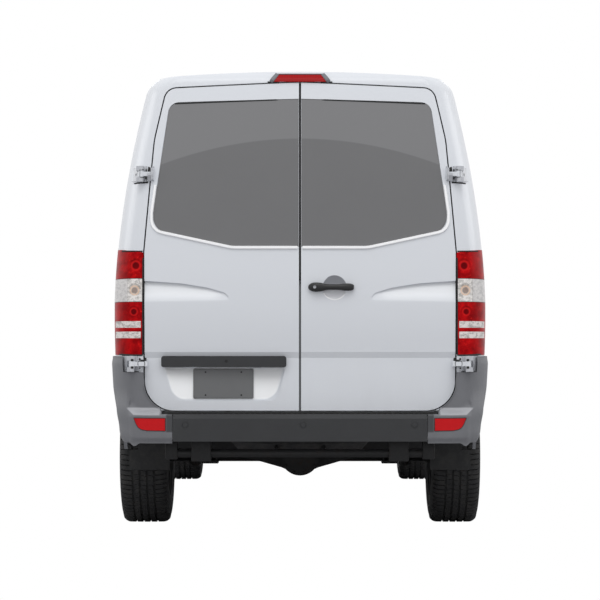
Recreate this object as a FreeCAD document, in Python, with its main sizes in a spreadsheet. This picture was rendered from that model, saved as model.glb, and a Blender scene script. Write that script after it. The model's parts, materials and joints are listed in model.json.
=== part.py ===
import FreeCAD
import Part
import Sketcher
import math
import os
import re
from FreeCAD import Placement, Rotation, Vector

# Cargo van, full size, in millimetres. +X is the right-hand side, +Y the front, +Z up.
# The origin is on the ground under the middle of the overall length.

SIZES = [
    # Main dimensions
    ("overall_length", 5910),
    ("wheelbase", 3665),
    ("rear_overhang", 1240),
    ("body_half_width", 976),
    ("belt_height", 1170),
    ("sill_height", 430),
    ("roof_height", 2435),
    ("wall_thickness", 55),
    ("tumblehome", 148),
    ("tumblehome_height", 2275),
    ("sill_tuck", 45),
    ("rear_taper", 13),
    ("front_taper", 25),
    # Rear face and corners
    ("bumper_reach", 85),
    ("rear_lean", 115),
    ("rear_lean_start", 1250),
    ("rear_bow", 22),
    ("corner_width", 160),
    ("corner_length", 330),
    # Nose, bonnet and windscreen
    ("nose_height", 520),
    ("nose_rake", 75),
    ("lip_height", 1010),
    ("cowl_height", 1375),
    ("cowl_setback", 705),
    ("screen_top_height", 2250),
    ("screen_setback", 830),
    ("screen_bow", 25),
    # Roof
    ("roof_crown_radius", 8700),
    ("roof_rear_drop", 44),
    ("roof_front_drop", 105),
    ("roof_edge_radius", 122),
    ("roof_seam_height", 2250),
    # Gaps and glazing
    ("panel_gap", 6),
    ("rear_seam", 7),
    ("centre_gap", 11),
    ("glass_thickness", 6),
    ("glass_recess", 2),
    ("glass_bed", 22),
    # Rear doors
    ("door_top", 2330),
    ("door_bottom", 657),
    ("door_top_half_width", 688),
    ("door_half_width", 786),
    ("door_corner_radius", 150),
    ("window_top", 2245),
    ("window_bottom", 1485),
    ("window_outer_bottom", 1574),
    ("window_half_width", 751),
    ("window_top_half_width", 654),
    ("window_break", 342),
    ("hinge_upper_height", 1857),
    ("hinge_lower_height", 893),
    ("hinge_upper_half_width", 808),
    ("hinge_lower_half_width", 848),
    ("hinge_stand_off", 46),
    ("hinge_pin_radius", 8),
    ("hinge_height", 80),
    # Front doors
    ("barrel_radius", 10),
    ("barrel_half_length", 45),
    ("hood_hinge_half_width", 200),
    ("front_door_rear", 600),
    ("front_door_front", 1434),
    ("front_door_bottom", 485),
    ("front_door_top", 2190),
    ("pillar_start", 1860),
    ("pillar_run", 290),
    ("side_window_bottom", 1440),
    # Sliding door
    ("slide_door_front", 535),
    ("slide_door_rear", -765),
    ("slide_door_bottom", 520),
    ("slide_door_top", 2170),
    # Wheels and tyres
    ("tyre_radius", 380),
    ("tyre_width", 265),
    ("rim_radius", 210),
    ("rim_width", 178),
    ("rear_track", 1696),
    ("front_track", 1690),
    ("arch_radius", 462),
    ("hub_radius", 85),
    ("kingpin_inset", 95),
    # Floor
    ("floor_top", 690),
    ("floor_thickness", 50),
    ("firewall", 2080),
    ("tub_half_width", 500),
    ("rear_tub_half_width", 660),
    ("tub_wall", 12),
    ("board_half_width", 640),
    ("board_thickness", 12),
    # Chassis
    ("rail_half_gap", 400),
    ("rail_width", 60),
    ("rail_height", 110),
    ("radiator_bottom", 450),
    ("radiator_height", 500),
    ("spare_radius", 365),
    ("spare_width", 200),
    ("spare_bottom", 430),
    ("spare_behind_axle", 700),
    ("axle_tube_radius", 43),
    ("diff_radius", 115),
    ("diff_length", 260),
    ("shaft_radius", 38),
    ("tank_length", 900),
    ("tank_width", 330),
    ("tank_height", 200),
    ("engine_length", 540),
    ("engine_width", 480),
    ("engine_height", 560),
    # Rear bumper and lamps
    ("bumper_bottom", 505),
    ("bumper_top", 640),
    ("bumper_centre_half", 638),
    ("bumper_chamfer", 28),
    ("bumper_half_width", 952),
    ("bumper_corner_radius", 250),
    ("bumper_side_tuck", 16),
    ("bumper_low_radius", 70),
    ("ledge_inner", 716),
    ("ledge_outer", 868),
    ("ledge_top", 666),
    ("corner_trim_proud", 21),
    ("corner_trim_top", 930),
    ("lamp_proud", 2),
    ("lamp_depth", 40),
    ("lamp_bottom", 937),
    ("lamp_inner_top", 1457),
    ("lamp_outer_top", 1484),
    ("lamp_wrap", 300),
]

doc = FreeCAD.newDocument("cargo_van")
sheet = doc.addObject("Spreadsheet::Sheet", "sizes")
for row, (alias, value) in enumerate(SIZES, 1):
    sheet.set(f"A{row}", alias)
    sheet.set(f"B{row}", str(value))
    sheet.setAlias(f"B{row}", alias)
doc.recompute()

ALIASES = re.compile(r"\b(" + "|".join(alias for alias, _ in SIZES) + r")\b")


def size(alias):
    """The value of one cell of the sheet."""
    return float(sheet.get(alias))


def bind(item, **expressions):
    """Binds properties of a document object to the sheet. A double underscore stands for a dot."""
    for name, expression in expressions.items():
        item.setExpression(name.replace("__", "."), ALIASES.sub(r"sizes.\1", str(expression)))


# Places that several pieces share
HALF = size("overall_length") / 2
REAR_AXLE = -HALF + size("rear_overhang")
FRONT_AXLE = REAR_AXLE + size("wheelbase")
REAR_FACE = -HALF + size("bumper_reach")
WALL = size("wall_thickness")
GAP = size("panel_gap")
REAR_AXLE_AT = "(-overall_length / 2 + rear_overhang)"
FRONT_AXLE_AT = "(-overall_length / 2 + rear_overhang + wheelbase)"
FAR = 4000.0

nodes = {}


def node(name, item, colour=None):
    """Registers a document object as a piece that gets a file of its own."""
    item.Label = name
    nodes[name] = item
    return item


def feature(name, shape):
    """A piece whose shape comes from Part's own functions."""
    item = doc.addObject("Part::Feature", name)
    item.Shape = shape
    return node(name, item)


def smooth(low, high, value):
    """0 below low, 1 above high, with a soft step between."""
    share = max(0.0, min(1.0, (value - low) / (high - low)))
    return share * share * (3 - 2 * share)


def rounding(height, start, radius):
    """How far a wall has turned inwards at a height, on a quarter circle that starts at start."""
    rise = height - start
    if rise <= 0:
        return 0.0
    limit = 0.94 * radius
    if rise <= limit:
        return radius - math.sqrt(radius ** 2 - rise ** 2)
    turned = radius - math.sqrt(radius ** 2 - limit ** 2)
    return turned + (rise - limit) * limit / math.sqrt(radius ** 2 - limit ** 2)


def half_width(height):
    """Half the body's width at a height: widest at the belt, leaning in above and tucked in below."""
    width = size("body_half_width")
    belt = size("belt_height")
    if height < belt:
        return width - size("sill_tuck") * ((belt - height) / (belt - size("sill_height"))) ** 2
    lean = size("tumblehome") * ((height - belt) / (size("tumblehome_height") - belt)) ** 1.75
    return width - lean - rounding(height, size("roof_height") - 150, size("roof_edge_radius"))


def rear_y(height):
    """The rear face at a height: upright below, leaning forward above, rounded into the roof."""
    start = size("rear_lean_start")
    place = REAR_FACE
    if height > start:
        place += size("rear_lean") * ((height - start) / (size("roof_height") - 85 - start)) ** 1.6
    return place + rounding(height, size("roof_height") - 108, 0.7 * size("roof_edge_radius"))


def front_y(height):
    """The nose, bonnet and windscreen on the centre line at a height."""
    nose, lip, cowl = size("nose_height"), size("lip_height"), size("cowl_height")
    rake, top = size("nose_rake"), size("screen_top_height")
    if height < nose:
        return HALF - 40 * ((nose - height) / 220) ** 2
    if height < lip:
        return HALF - rake * ((height - nose) / (lip - nose)) ** 2
    cowl_y = HALF - size("cowl_setback")
    if height < cowl:
        span = cowl - lip
        s = (height - lip) / span
        start_slope = -2 * rake / (lip - nose)
        end_slope = -2.3
        return (
            (2 * s ** 3 - 3 * s ** 2 + 1) * (HALF - rake)
            + (s ** 3 - 2 * s ** 2 + s) * span * start_slope
            + (3 * s ** 2 - 2 * s ** 3) * cowl_y
            + (s ** 3 - s ** 2) * span * end_slope
        )
    s = (height - cowl) / (top - cowl)
    lean = size("screen_setback") * s - 4 * size("screen_bow") * s * (1 - s)
    return cowl_y - lean - rounding(height, top - 20, 1.2 * size("roof_edge_radius"))


def corner(start, start_way, end, end_way):
    """A corner of a plan section, close to a quarter of an ellipse, tangent at both ends."""
    handle = 0.5523
    across = abs(end.x - start.x)
    along = abs(end.y - start.y)
    first = handle * (across if abs(start_way.x) > abs(start_way.y) else along)
    last = handle * (across if abs(end_way.x) > abs(end_way.y) else along)
    curve = Part.BezierCurve()
    curve.setPoles([start, start + start_way * first, end - end_way * last, end])
    return curve.toShape()


def bow(start, middle, end):
    """A gentle curve through three points, with the directions that it has at its ends."""
    pull = middle * 2 - (start + end) * 0.5
    first = start + (pull - start) * (2 / 3)
    last = end + (pull - end) * (2 / 3)
    curve = Part.BezierCurve()
    curve.setPoles([start, first, last, end])
    return curve.toShape(), (pull - start).normalize(), (end - pull).normalize()


def plan_section(height, inset):
    """The body's outline in plan at a height, inset by a distance all round."""
    slope = (front_y(height + 5) - front_y(height - 5)) / 10
    nose = front_y(height) - inset * math.sqrt(1 + slope ** 2)
    tail = rear_y(height) + inset
    side = half_width(height) - inset
    upper = smooth(1150, 1500, height)
    front_bow = 95 + 45 * upper
    front_reach = 600 + 110 * upper - 120 * smooth(1500, 2300, height) - 0.6 * inset
    front_length = 420 - 280 * upper
    rear_reach = side - size("corner_width") + 0.5 * inset
    tail_corner = tail + size("rear_bow")
    nose_corner = nose - front_bow
    back = Vector(side - size("rear_taper"), tail_corner + size("corner_length") - inset, height)
    front = Vector(side - size("front_taper"), nose_corner - front_length, height)
    middle = Vector(side, (back.y + front.y) / 2, height)
    tail_right = Vector(rear_reach, tail_corner, height)
    nose_right = Vector(front_reach, nose_corner, height)
    rear, _, rear_way = bow(Vector(-rear_reach, tail_corner, height), Vector(0, tail, height), tail_right)
    flank, flank_start, flank_end = bow(back, middle, front)
    nose_edge, nose_way, _ = bow(nose_right, Vector(0, nose, height), Vector(-front_reach, nose_corner, height))
    rear_corner = corner(tail_right, rear_way, back, flank_start)
    front_corner = corner(front, flank_end, nose_right, nose_way)
    right = [rear_corner, flank, front_corner]
    left = [edge.mirror(Vector(0, 0, 0), Vector(1, 0, 0)) for edge in right]
    edges = [rear] + right + [nose_edge] + left
    return Part.Wire(Part.__sortEdges__(edges))


def roof_height_at(y, inset):
    """The roof's height on the centre line."""
    peak = -300.0
    if y < peak:
        drop = size("roof_rear_drop") * ((peak - y) / 2400) ** 2
    else:
        drop = size("roof_front_drop") * ((y - peak) / 1700) ** 2.4
    return size("roof_height") - drop - inset


def roof_envelope(inset):
    """Everything under the crowned roof surface, wider than the body."""
    radius = size("roof_crown_radius")
    reach = 1300.0
    drop = radius - math.sqrt(radius ** 2 - reach ** 2)
    sections = []
    for y in (-3300, -2500, -1500, -300, 500, 1100, 1500, 1900):
        top = roof_height_at(y, inset)
        arc = bow(Vector(-reach, y, top - drop), Vector(0, y, top), Vector(reach, y, top - drop))[0]
        low_left = Vector(-reach, y, 100)
        low_right = Vector(reach, y, 100)
        sides = [
            Part.makeLine(Vector(reach, y, top - drop), low_right),
            Part.makeLine(low_right, low_left),
            Part.makeLine(low_left, Vector(-reach, y, top - drop)),
        ]
        sections.append(Part.Wire([arc] + sides))
    return Part.makeLoft(sections, True, False, False, 3)


skins = {}


def skin(inset):
    """The solid inside the body's outer surface, inset by a distance."""
    if inset not in skins:
        heights = (250, 330, 420, 520, 700, 850, 1010, 1080, 1150, 1225, 1300, 1375, 1450, 1600,
                   1800, 2000, 2150, 2250, 2300, 2330, 2360, 2390, 2420, 2450)
        body = Part.makeLoft([plan_section(z, inset) for z in heights], True, False, False, 3)
        above = block((-1250, 1250), (-3250, 1850), (2050, 2600)).cut(roof_envelope(inset))
        skins[inset] = body.cut(above).Solids[0]
    return skins[inset]


ZONES = {
    # Parts of the body that pieces are cut from: (x, y, z) ranges
    "rear": ((-1300, 1300), (-3300, -2380), (200, 2600)),
    "rear right": ((0, 1300), (-3300, -2380), (200, 2600)),
    "side": ((600, 1300), (-3300, 1500), (200, 2300)),
    "front": ((-1300, 1300), (1150, 3300), (200, 2600)),
    "front right": ((0, 1300), (1150, 3300), (200, 2600)),
    "nose": ((-1300, 1300), (2300, 3300), (200, 1100)),
}
zone_skins = {}


def zone_skin(inset, zone):
    """The inset body within one of the zones."""
    key = (inset, zone)
    if key not in zone_skins:
        zone_skins[key] = skin(inset).common(block(*ZONES[zone]))
    return zone_skins[key]


def block(x, y, z):
    """A box between pairs of coordinates."""
    return Part.makeBox(
        abs(x[1] - x[0]), abs(y[1] - y[0]), abs(z[1] - z[0]), Vector(min(x), min(y), min(z))
    )


def rounded(points, offset=0.0, join=0):
    """A closed outline of straight runs with round corners, from (u, v, radius) points."""
    count = len(points)
    edges = []
    last_end = None
    first_start = None
    for i in range(count):
        u, v, radius = points[i]
        here = Vector(u, v, 0)
        before = Vector(points[i - 1][0], points[i - 1][1], 0)
        after = Vector(points[(i + 1) % count][0], points[(i + 1) % count][1], 0)
        way_in = (here - before).normalize()
        way_out = (after - here).normalize()
        turn = way_in.getAngle(way_out)
        if radius > 0 and turn > 0.001:
            cut = radius * math.tan(turn / 2)
            start = here - way_in * cut
            end = here + way_out * cut
            inward = (way_out - way_in).normalize()
            centre = here + inward * (radius / math.cos(turn / 2))
            middle = centre - inward * radius
            if last_end is not None and (start - last_end).Length > 1e-6:
                edges.append(Part.makeLine(last_end, start))
            edges.append(Part.Arc(start, middle, end).toShape())
        else:
            start = end = here
            if last_end is not None:
                edges.append(Part.makeLine(last_end, start))
        if first_start is None:
            first_start = start
        last_end = end
    if (first_start - last_end).Length > 1e-6:
        edges.append(Part.makeLine(last_end, first_start))
    wire = Part.Wire(edges)
    if offset:
        wire = wire.makeOffset2D(offset, join)
    return wire


PLANES = {
    # Outline coordinates (u, v) are (x, z) seen from behind, (y, z) from the side, (x, y) from above
    "rear": FreeCAD.Matrix(1, 0, 0, 0, 0, 0, -1, 0, 0, 1, 0, 0, 0, 0, 0, 1),
    "side": FreeCAD.Matrix(0, 0, 1, 0, 1, 0, 0, 0, 0, 1, 0, 0, 0, 0, 0, 1),
    "top": FreeCAD.Matrix(1, 0, 0, 0, 0, 1, 0, 0, 0, 0, 1, 0, 0, 0, 0, 1),
}
AXES = {"rear": Vector(0, 1, 0), "side": Vector(1, 0, 0), "top": Vector(0, 0, 1)}


def prism(points, plane, low, high, offset=0.0, join=0):
    """An outline drawn on a plane and extruded between two distances along the plane's normal."""
    wire = rounded(points, offset, join)
    wire = wire.transformShape(PLANES[plane])
    axis = AXES[plane]
    wire.translate(axis * low)
    return Part.Face(wire).extrude(axis * (high - low))


def mirrored(shape):
    """The same shape on the other side of the van."""
    return shape.mirror(Vector(0, 0, 0), Vector(1, 0, 0))


def union(shapes):
    """One fused shape."""
    first, *rest = shapes
    fused = first.fuse(rest) if rest else first
    return fused.removeSplitter()


def both_sides(name, shape):
    """A piece made of a right-hand solid and its mirror image."""
    return feature(name, Part.makeCompound(mirrored(shape).Solids + shape.Solids))


def skin_y(x, height):
    """The rear face's place at a point seen from behind."""
    ray = Part.makeLine(Vector(x, -FAR, height), Vector(x, -1900, height))
    return skin(0).common(ray).BoundBox.YMin


layers = {}


def layer(outer, inner, zone):
    """The wall between two insets of the body's surface, within a zone."""
    key = (outer, inner, zone)
    if key not in layers:
        layers[key] = zone_skin(outer, zone).cut(skin(inner))
    return layers[key]


def arch(y, radius, inner=300.0, outer=1300.0):
    """A wheel arch's cylinder on the right-hand side."""
    return Part.makeCylinder(
        radius, outer - inner, Vector(inner, y, size("tyre_radius")), Vector(1, 0, 0)
    )


def glazed(panel, outline, plane, low, high, zone):
    """Cuts a window with a rebate into a panel and returns the panel and its pane."""
    bed = size("glass_bed")
    recess = size("glass_recess")
    depth = recess + size("glass_thickness")
    opening = prism(outline, plane, low, high)
    around = prism(outline, plane, low, high, bed, 2)
    pane_form = prism(outline, plane, low, high, bed - 2, 2)
    panel = panel.cut([opening, around.cut(zone_skin(depth, zone))])
    pane = layer(recess, depth, zone).common(pane_form)
    return panel, pane


def barrel_hinge(centre, way):
    """A hinge of three barrels on a pin: the moving and the fixed barrels and the notch for each."""
    way = Vector(way).normalize()
    radius = size("barrel_radius")
    half = size("barrel_half_length")
    third = half / 3

    def barrel(low, high, reach):
        return Part.makeCylinder(reach, high - low, centre + way * low, way)

    moving = barrel(-third, third, radius).cut(barrel(-half, half, radius / 2 + 0.3))
    outer = [barrel(third + 1, half, radius), barrel(-half, -third - 1, radius)]
    fixed = union(outer + [barrel(-half, half, radius / 2)])
    room = radius + 5
    fixed_notch = barrel(-third - 3, third + 3, room)
    moving_notch = union([barrel(third - 2, half + 5, room), barrel(-half - 5, 2 - third, room)])
    return moving, fixed, fixed_notch, moving_notch


# Body panels. The shell is the wall between the outer surface and its inset, cut where the real seams run.

sill = size("sill_height")
roof_seam = size("roof_seam_height")
rear_shell = layer(0, WALL, "rear right")
side_shell = layer(0, WALL, "side").common(block((600, 1300), (-FAR, FAR), (sill, roof_seam)))
front_shell = layer(0, WALL, "front right").common(block((0, 1300), (-FAR, FAR), (sill, roof_seam)))

# Rear doors, drawn from behind
half_gap = size("centre_gap") / 2
door_edge = size("door_half_width")
rear_door_outline = [
    (half_gap, size("door_bottom"), 0),
    (door_edge - 2, size("door_bottom"), size("door_corner_radius")),
    (door_edge, size("lamp_bottom"), 0),
    (door_edge + 3, size("lamp_inner_top"), 0),
    (door_edge - 46, 2034, 400),
    (size("door_top_half_width") + 12, 2215, 300),
    (size("door_top_half_width") - 8, size("door_top") - 30, 62),
    (half_gap, size("door_top"), 0),
]
opening_outline = [(-door_edge, size("door_bottom"), 0)] + rear_door_outline[1:-1] + [
    (0, size("door_top"), 0)
]
rear_zone = (-3300, -2450)
door_form = prism(rear_door_outline, "rear", *rear_zone)
opening_form = prism(rear_door_outline, "rear", *rear_zone, size("rear_seam")).fuse(
    block((-1, 60), rear_zone, (size("door_bottom") - size("rear_seam"), size("door_top") + size("rear_seam")))
)
window_outline = [
    (half_gap + size("glass_bed"), size("window_bottom") + size("glass_bed"), 0),
    (size("window_break") - 4, size("window_bottom") + size("glass_bed"), 200),
    (size("window_half_width") - 32, size("window_outer_bottom") + 12, 60),
    (size("window_half_width") - 26, size("window_outer_bottom") + 80, 160),
    (size("window_top_half_width") - 6, size("window_top") - 38, 36),
    (half_gap + size("glass_bed"), size("window_top") - size("glass_bed"), 0),
]


def lowered(levels):
    """The body's rear face moved forward by a depth at each height, for a pressed step or recess."""
    sections = []
    for height, depth in levels:
        wire = plan_section(height, 0)
        wire.translate(Vector(0, depth, 0))
        sections.append(wire)
    return Part.makeLoft(sections, True, True)


step_top, step_bottom, step_depth = 953, 923, 12
lower_form = block((-5, 1000), rear_zone, (500, step_top)).cut(
    lowered([(400, step_depth), (step_bottom, step_depth), (step_top + 1, 0)])
)
blade_top = [
    (356, 1217, 10), (372, 1250, 40), (465, 1278, 200),
    (600, 1300, 400), (900, 1321, 0), (900, 1205, 0),
]
blade_form = prism(blade_top, "rear", *rear_zone).cut(lowered([(1206, 0), (1330, 20)]))
door_body = rear_shell.common(door_form).cut([lower_form, blade_form])
door_body, door_pane = glazed(door_body, window_outline, "rear", *rear_zone, "rear right")
face = REAR_FACE + step_depth
recess_outline = [
    (641, 707, 52), (691, 872, 12), (75, 872, 12), (115, 707, 52),
]
left_door = mirrored(door_body.cut(prism(recess_outline, "rear", -3300, face + 16)))
cup = Part.makeCylinder(60, 60, Vector(174, REAR_FACE - 42, 1279), Vector(0, 1, 0))
right_door = door_body.cut(cup)
feature("rear_door_right_glass", door_pane)
feature("rear_door_left_glass", mirrored(door_pane))

# Plate bar, plate and handle
plate_bar = prism(
    [(69, 876, 12), (701, 876, 12), (701, 933, 14), (69, 933, 14)], "rear", REAR_FACE - 22, REAR_FACE + 60
).common(lowered([(400, -20), (1100, -20)]))
plate_bar = plate_bar.cut(lowered([(400, step_depth), (step_bottom, step_depth), (step_top + 1, 0)]))
feature("plate_bar", mirrored(plate_bar))
plate = prism([(235, 717, 8), (540, 717, 8), (540, 869, 8), (235, 869, 8)], "rear", face + 10, face + 16)
feature("number_plate", mirrored(plate))
grip_outline = [
    (39, 1256, 18), (70, 1253, 18), (96, 1264, 30), (262, 1264, 13), (275, 1280, 8),
    (262, 1295, 13), (96, 1295, 30), (70, 1305, 18), (39, 1302, 18),
]
grip = prism(grip_outline, "rear", REAR_FACE - 34, REAR_FACE - 14)
mount_a = Part.makeCylinder(14, 40, Vector(66, REAR_FACE - 20, 1279), Vector(0, 1, 0))
mount_b = Part.makeCylinder(11, 40, Vector(255, REAR_FACE - 20, 1279), Vector(0, 1, 0))
feature("rear_door_handle", grip.fuse([mount_a.cut(skin(0)), mount_b.cut(skin(0))]).removeSplitter())

# Hinges of the rear doors: an arm on the door, a bracket on the body and a pin through both
pins = []
for height, across in (
    (size("hinge_lower_height"), size("hinge_lower_half_width")),
    (size("hinge_upper_height"), size("hinge_upper_half_width")),
):
    pins.append(Vector(across, skin_y(across, height) - size("hinge_stand_off"), height))
hinge_axis = (pins[1] - pins[0]).normalize()
tall = size("hinge_height")
pin_radius = size("hinge_pin_radius")
knuckle_radius = pin_radius + 6
arms = []
brackets = []
hinge_feet = ((pins[0], 770, 783, 14, 48), (pins[1], 744, 758, 30, 46))
for pin, foot_in, foot_out, foot_half, reach_out in hinge_feet:

    def barrel(low, high, radius):
        return Part.makeCylinder(radius, high - low, pin + hinge_axis * low, hinge_axis)

    strap = block((foot_in, pin.x), (pin.y - 10, pin.y + 12), (pin.z - 11, pin.z + 11))
    foot = block((foot_in, foot_out), (pin.y - 6, pin.y + 66), (pin.z - foot_half, pin.z + foot_half))
    arm = union([strap, foot, barrel(-15, 15, knuckle_radius)]).cut(barrel(-60, 60, pin_radius + 0.3))
    arms.append(arm)
    across = (pin.x + 3, pin.x + reach_out)
    plate_zone = block(across, (pin.y - 60, pin.y + 120), (pin.z - tall / 2, pin.z + tall / 2))
    leaf = layer(-6, 0, "rear right").common(plate_zone)
    lugs = []
    for low, high in ((17, tall / 2), (-tall / 2, -17)):
        lug = block((pin.x - 4, pin.x + 24), (pin.y - 8, pin.y + 90), (pin.z + low, pin.z + high))
        lugs += [lug.cut(zone_skin(0, "rear right")), barrel(low, high, knuckle_radius)]
    bracket = union([leaf] + lugs + [barrel(-tall / 2, tall / 2, pin_radius)])
    bracket = bracket.cut(zone_skin(0, "rear right"))
    brackets.append(bracket)
feature("rear_door_right_panel", union([right_door] + arms))
feature("rear_door_left_panel", union([left_door] + [mirrored(arm) for arm in arms]))
feature("rear_hinges", Part.makeCompound(brackets + [mirrored(bracket) for bracket in brackets]))

# Tail lamps, set into the rear corners
lamp_inner = door_edge + size("rear_seam") + 1
lamp_low, lamp_high, lamp_far = size("lamp_bottom"), size("lamp_inner_top"), size("lamp_outer_top")
lamp_outline = [
    (lamp_inner, lamp_low, 6), (1000, lamp_low, 6), (1000, lamp_far + 3, 6), (lamp_inner, lamp_high, 6),
]
lamp_form = prism(lamp_outline, "rear", -3300, REAR_FACE + size("lamp_wrap"))
lamp = layer(-size("lamp_proud"), size("lamp_depth"), "rear right").common(lamp_form)
lamp_pocket = lamp_form.cut(zone_skin(size("lamp_depth"), "rear right"))
both_sides("tail_lamps", lamp)

# Side panels, with the sliding door's opening on the right
rear_arch = arch(REAR_AXLE, size("arch_radius"))
front_arch = arch(FRONT_AXLE, size("arch_radius"))
seam_y = size("front_door_front") + GAP
front_outline = [
    (size("front_door_rear"), size("front_door_bottom"), 50),
    (size("front_door_front"), size("front_door_bottom"), 40),
    (size("front_door_front"), size("pillar_start"), 160),
    (size("front_door_front") - size("pillar_run"), size("front_door_top"), 90),
    (size("front_door_rear"), size("front_door_top"), 70),
]
cab_side = 760
front_door_hole = prism(front_outline, "side", cab_side - 1, 1300, GAP)
side_region = block((0, 1300), (-FAR, seam_y), (sill, roof_seam))
side_region = side_region.cut(block((0, cab_side), (1200, FAR), (0, 2600)))
under_doors = block((-10, door_edge), (-3300, -2450), (0, size("door_bottom") + 1))
behind_arch = block((0, 1300), (-3300, REAR_AXLE - 380), (0, size("bumper_bottom") + 20))
side = side_shell.common(side_region).cut(
    [front_door_hole, opening_form, lamp_pocket, rear_arch, under_doors, behind_arch]
)
slide_outline = [
    (size("slide_door_rear"), size("slide_door_bottom"), 60),
    (size("slide_door_front"), size("slide_door_bottom"), 60),
    (size("slide_door_front"), size("slide_door_top"), 60),
    (size("slide_door_rear"), size("slide_door_top"), 60),
]
slide_form = prism(slide_outline, "side", 500, 1300)
slide_hole = prism(slide_outline, "side", 500, 1300, GAP)
track = block((900, 1300), (-1700, size("slide_door_rear") - GAP - 20), (1290, 1318))
track = track.cut(zone_skin(18, "side"))
sliding = side_shell.common(slide_form)
side_right = side.cut([slide_hole, track])
feature("side_panel_right", side_right)
feature("side_panel_left", mirrored(side))
feature("sliding_door", sliding)


# Roof, with the rear header over the doors
above_seam = block((-1300, 1300), (-FAR, FAR), (roof_seam, 2600))
roof = skin(0).common(above_seam).cut(skin(WALL))
brake_outline = [(150, 2334, 5), (118, 2377, 12), (-118, 2377, 12), (-150, 2334, 5)]
brake_form = prism(brake_outline, "rear", -3300, -2500)
brake_lamp = layer(-9, 30, "rear").common(brake_form)
brake_pocket = brake_form.cut(zone_skin(30, "rear"))
roof = roof.cut([opening_form, mirrored(opening_form), brake_pocket])
feature("roof_panel", roof)
feature("high_brake_lamp", brake_lamp)

# Cab: screen frame, wings, windscreen and quarter windows
belt_seam = 1400
hood_rear = 2244
hood_half = 766
frame_zone = block((-1300, 1300), (seam_y, hood_rear), (1300, roof_seam)).fuse(
    block((-cab_side, cab_side), (1200, hood_rear), (1300, roof_seam)))
wing_zone = block((hood_half, 1300), (seam_y, FAR), (sill, belt_seam))
cab = front_shell.common(frame_zone).cut(wing_zone)
screen_outline = [(-805, 1452, 70), (805, 1452, 70), (712, 2172, 70), (-712, 2172, 70)]
cab, screen = glazed(cab, screen_outline, "rear", 1250, 2500, "front right")
quarter_outline = [(seam_y + 50, 1462, 30), (1850, 1462, 50), (seam_y + 50, 1850, 50)]
cab, quarter = glazed(cab, quarter_outline, "side", 500, 1300, "front right")
cab_frame = union([cab, mirrored(cab)])
screen = union([screen, mirrored(screen)])
feature("cab_windows", Part.makeCompound(screen.Solids + quarter.Solids + mirrored(quarter).Solids))

# Front end
lip = size("lip_height")
hood_form = block((-hood_half + GAP, hood_half - GAP), (hood_rear + GAP, FAR), (lip - 8, 1500))
hood = union([front_shell.common(hood_form), mirrored(front_shell.common(hood_form))])
hood_axis = Vector(0, hood_rear + GAP / 2, size("cowl_height") + 3)
for way in (-1, 1):
    spot = hood_axis + Vector(way * size("hood_hinge_half_width"), 0, 0)
    moving, fixed, fixed_notch, moving_notch = barrel_hinge(spot, Vector(1, 0, 0))
    hood = union([hood.cut(moving_notch), moving])
    cab_frame = union([cab_frame.cut(fixed_notch), fixed])
feature("cab_frame", cab_frame)
feature("hood", hood)
lamp_front = [(500, 812, 20), (1100, 812, 0), (1100, 992, 0), (500, 992, 30)]
head_form = prism(lamp_front, "rear", 2560, 3300)
head = layer(-3, 40, "front right").common(head_form)
both_sides("headlamps", head)
grille_outline = [(-486, 764, 20), (486, 764, 20), (486, lip - 14, 30), (-486, lip - 14, 30)]
grille_form = prism(grille_outline, "rear", 2600, 3300)
slots = [block((-462, 462), (2600, 3300), (z, z + 22)) for z in (800, 838, 876, 914, 952)]
grille = layer(0, 40, "nose").common(grille_form).cut(slots)
behind = layer(18, 40, "nose").common(grille_form)
posts = [behind.common(block((x - 8, x + 8), (2600, 3300), (780, 985))) for x in (-230, 0, 230)]
grille = union([grille] + posts)
feature("grille", grille)
bumper_zone = block((-1300, 1300), (FRONT_AXLE + 430, FAR), (330, 764))
front_bumper = layer(0, WALL, "nose").common(bumper_zone).cut([front_arch, mirrored(front_arch)])
intake = prism([(-420, 520, 30), (420, 520, 30), (470, 660, 30), (-470, 660, 30)], "rear", 2500, 3300)
front_bumper = front_bumper.cut(intake)
feature("front_bumper", front_bumper)
wing = front_shell.common(block((0, 1300), (seam_y, FAR), (sill, belt_seam)))
wing = wing.cut([
    block((0, hood_half), (seam_y, FAR), (lip - 14, 1500)),
    block((0, 1300), (FRONT_AXLE + 430, FAR), (0, 764)),
    front_arch,
    head_form.cut(zone_skin(40, "front right")),
    block((0, 486.2), (2300, FAR), (0, lip)),
])

# Front doors
front_door = side_shell.common(prism(front_outline, "side", cab_side + GAP, 1300))
side_window = [
    (size("front_door_rear") + 66, size("side_window_bottom") + 22, 60),
    (size("front_door_front") - 62, size("side_window_bottom") + 22, 60),
    (size("front_door_front") - 62, size("pillar_start") - 26, 130),
    (size("front_door_front") - size("pillar_run") + 16, size("front_door_top") - 92, 80),
    (size("front_door_rear") + 66, size("front_door_top") - 92, 90),
]
front_door, front_pane = glazed(front_door, side_window, "side", cab_side - 60, 1300, "side")
door_axis_x = size("body_half_width") - 10
moving_barrels = []
for height in (900, 1280):
    spot = Vector(door_axis_x, seam_y, height)
    moving, fixed, fixed_notch, moving_notch = barrel_hinge(spot, Vector(0, 0, 1))
    front_door = front_door.cut(moving_notch)
    moving_barrels.append(moving)
    wing = union([wing.cut(fixed_notch), fixed])
front_door = union([front_door] + moving_barrels)
both_sides("wings", wing)
feature("front_door_right_panel", front_door)
feature("front_door_left_panel", mirrored(front_door))
feature("front_door_right_glass", front_pane)
feature("front_door_left_glass", mirrored(front_pane))
mirror_outline = [(1030, 1440, 40), (1215, 1450, 50), (1210, 1740, 60), (1030, 1730, 50)]
head_mirror = prism(mirror_outline, "rear", 1235, 1345)
foot_outline = [(900, 1372, 10), (1080, 1400, 30), (1090, 1470, 10), (1035, 1470, 10), (900, 1428, 10)]
foot = prism(foot_outline, "rear", 1262, 1345)
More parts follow.
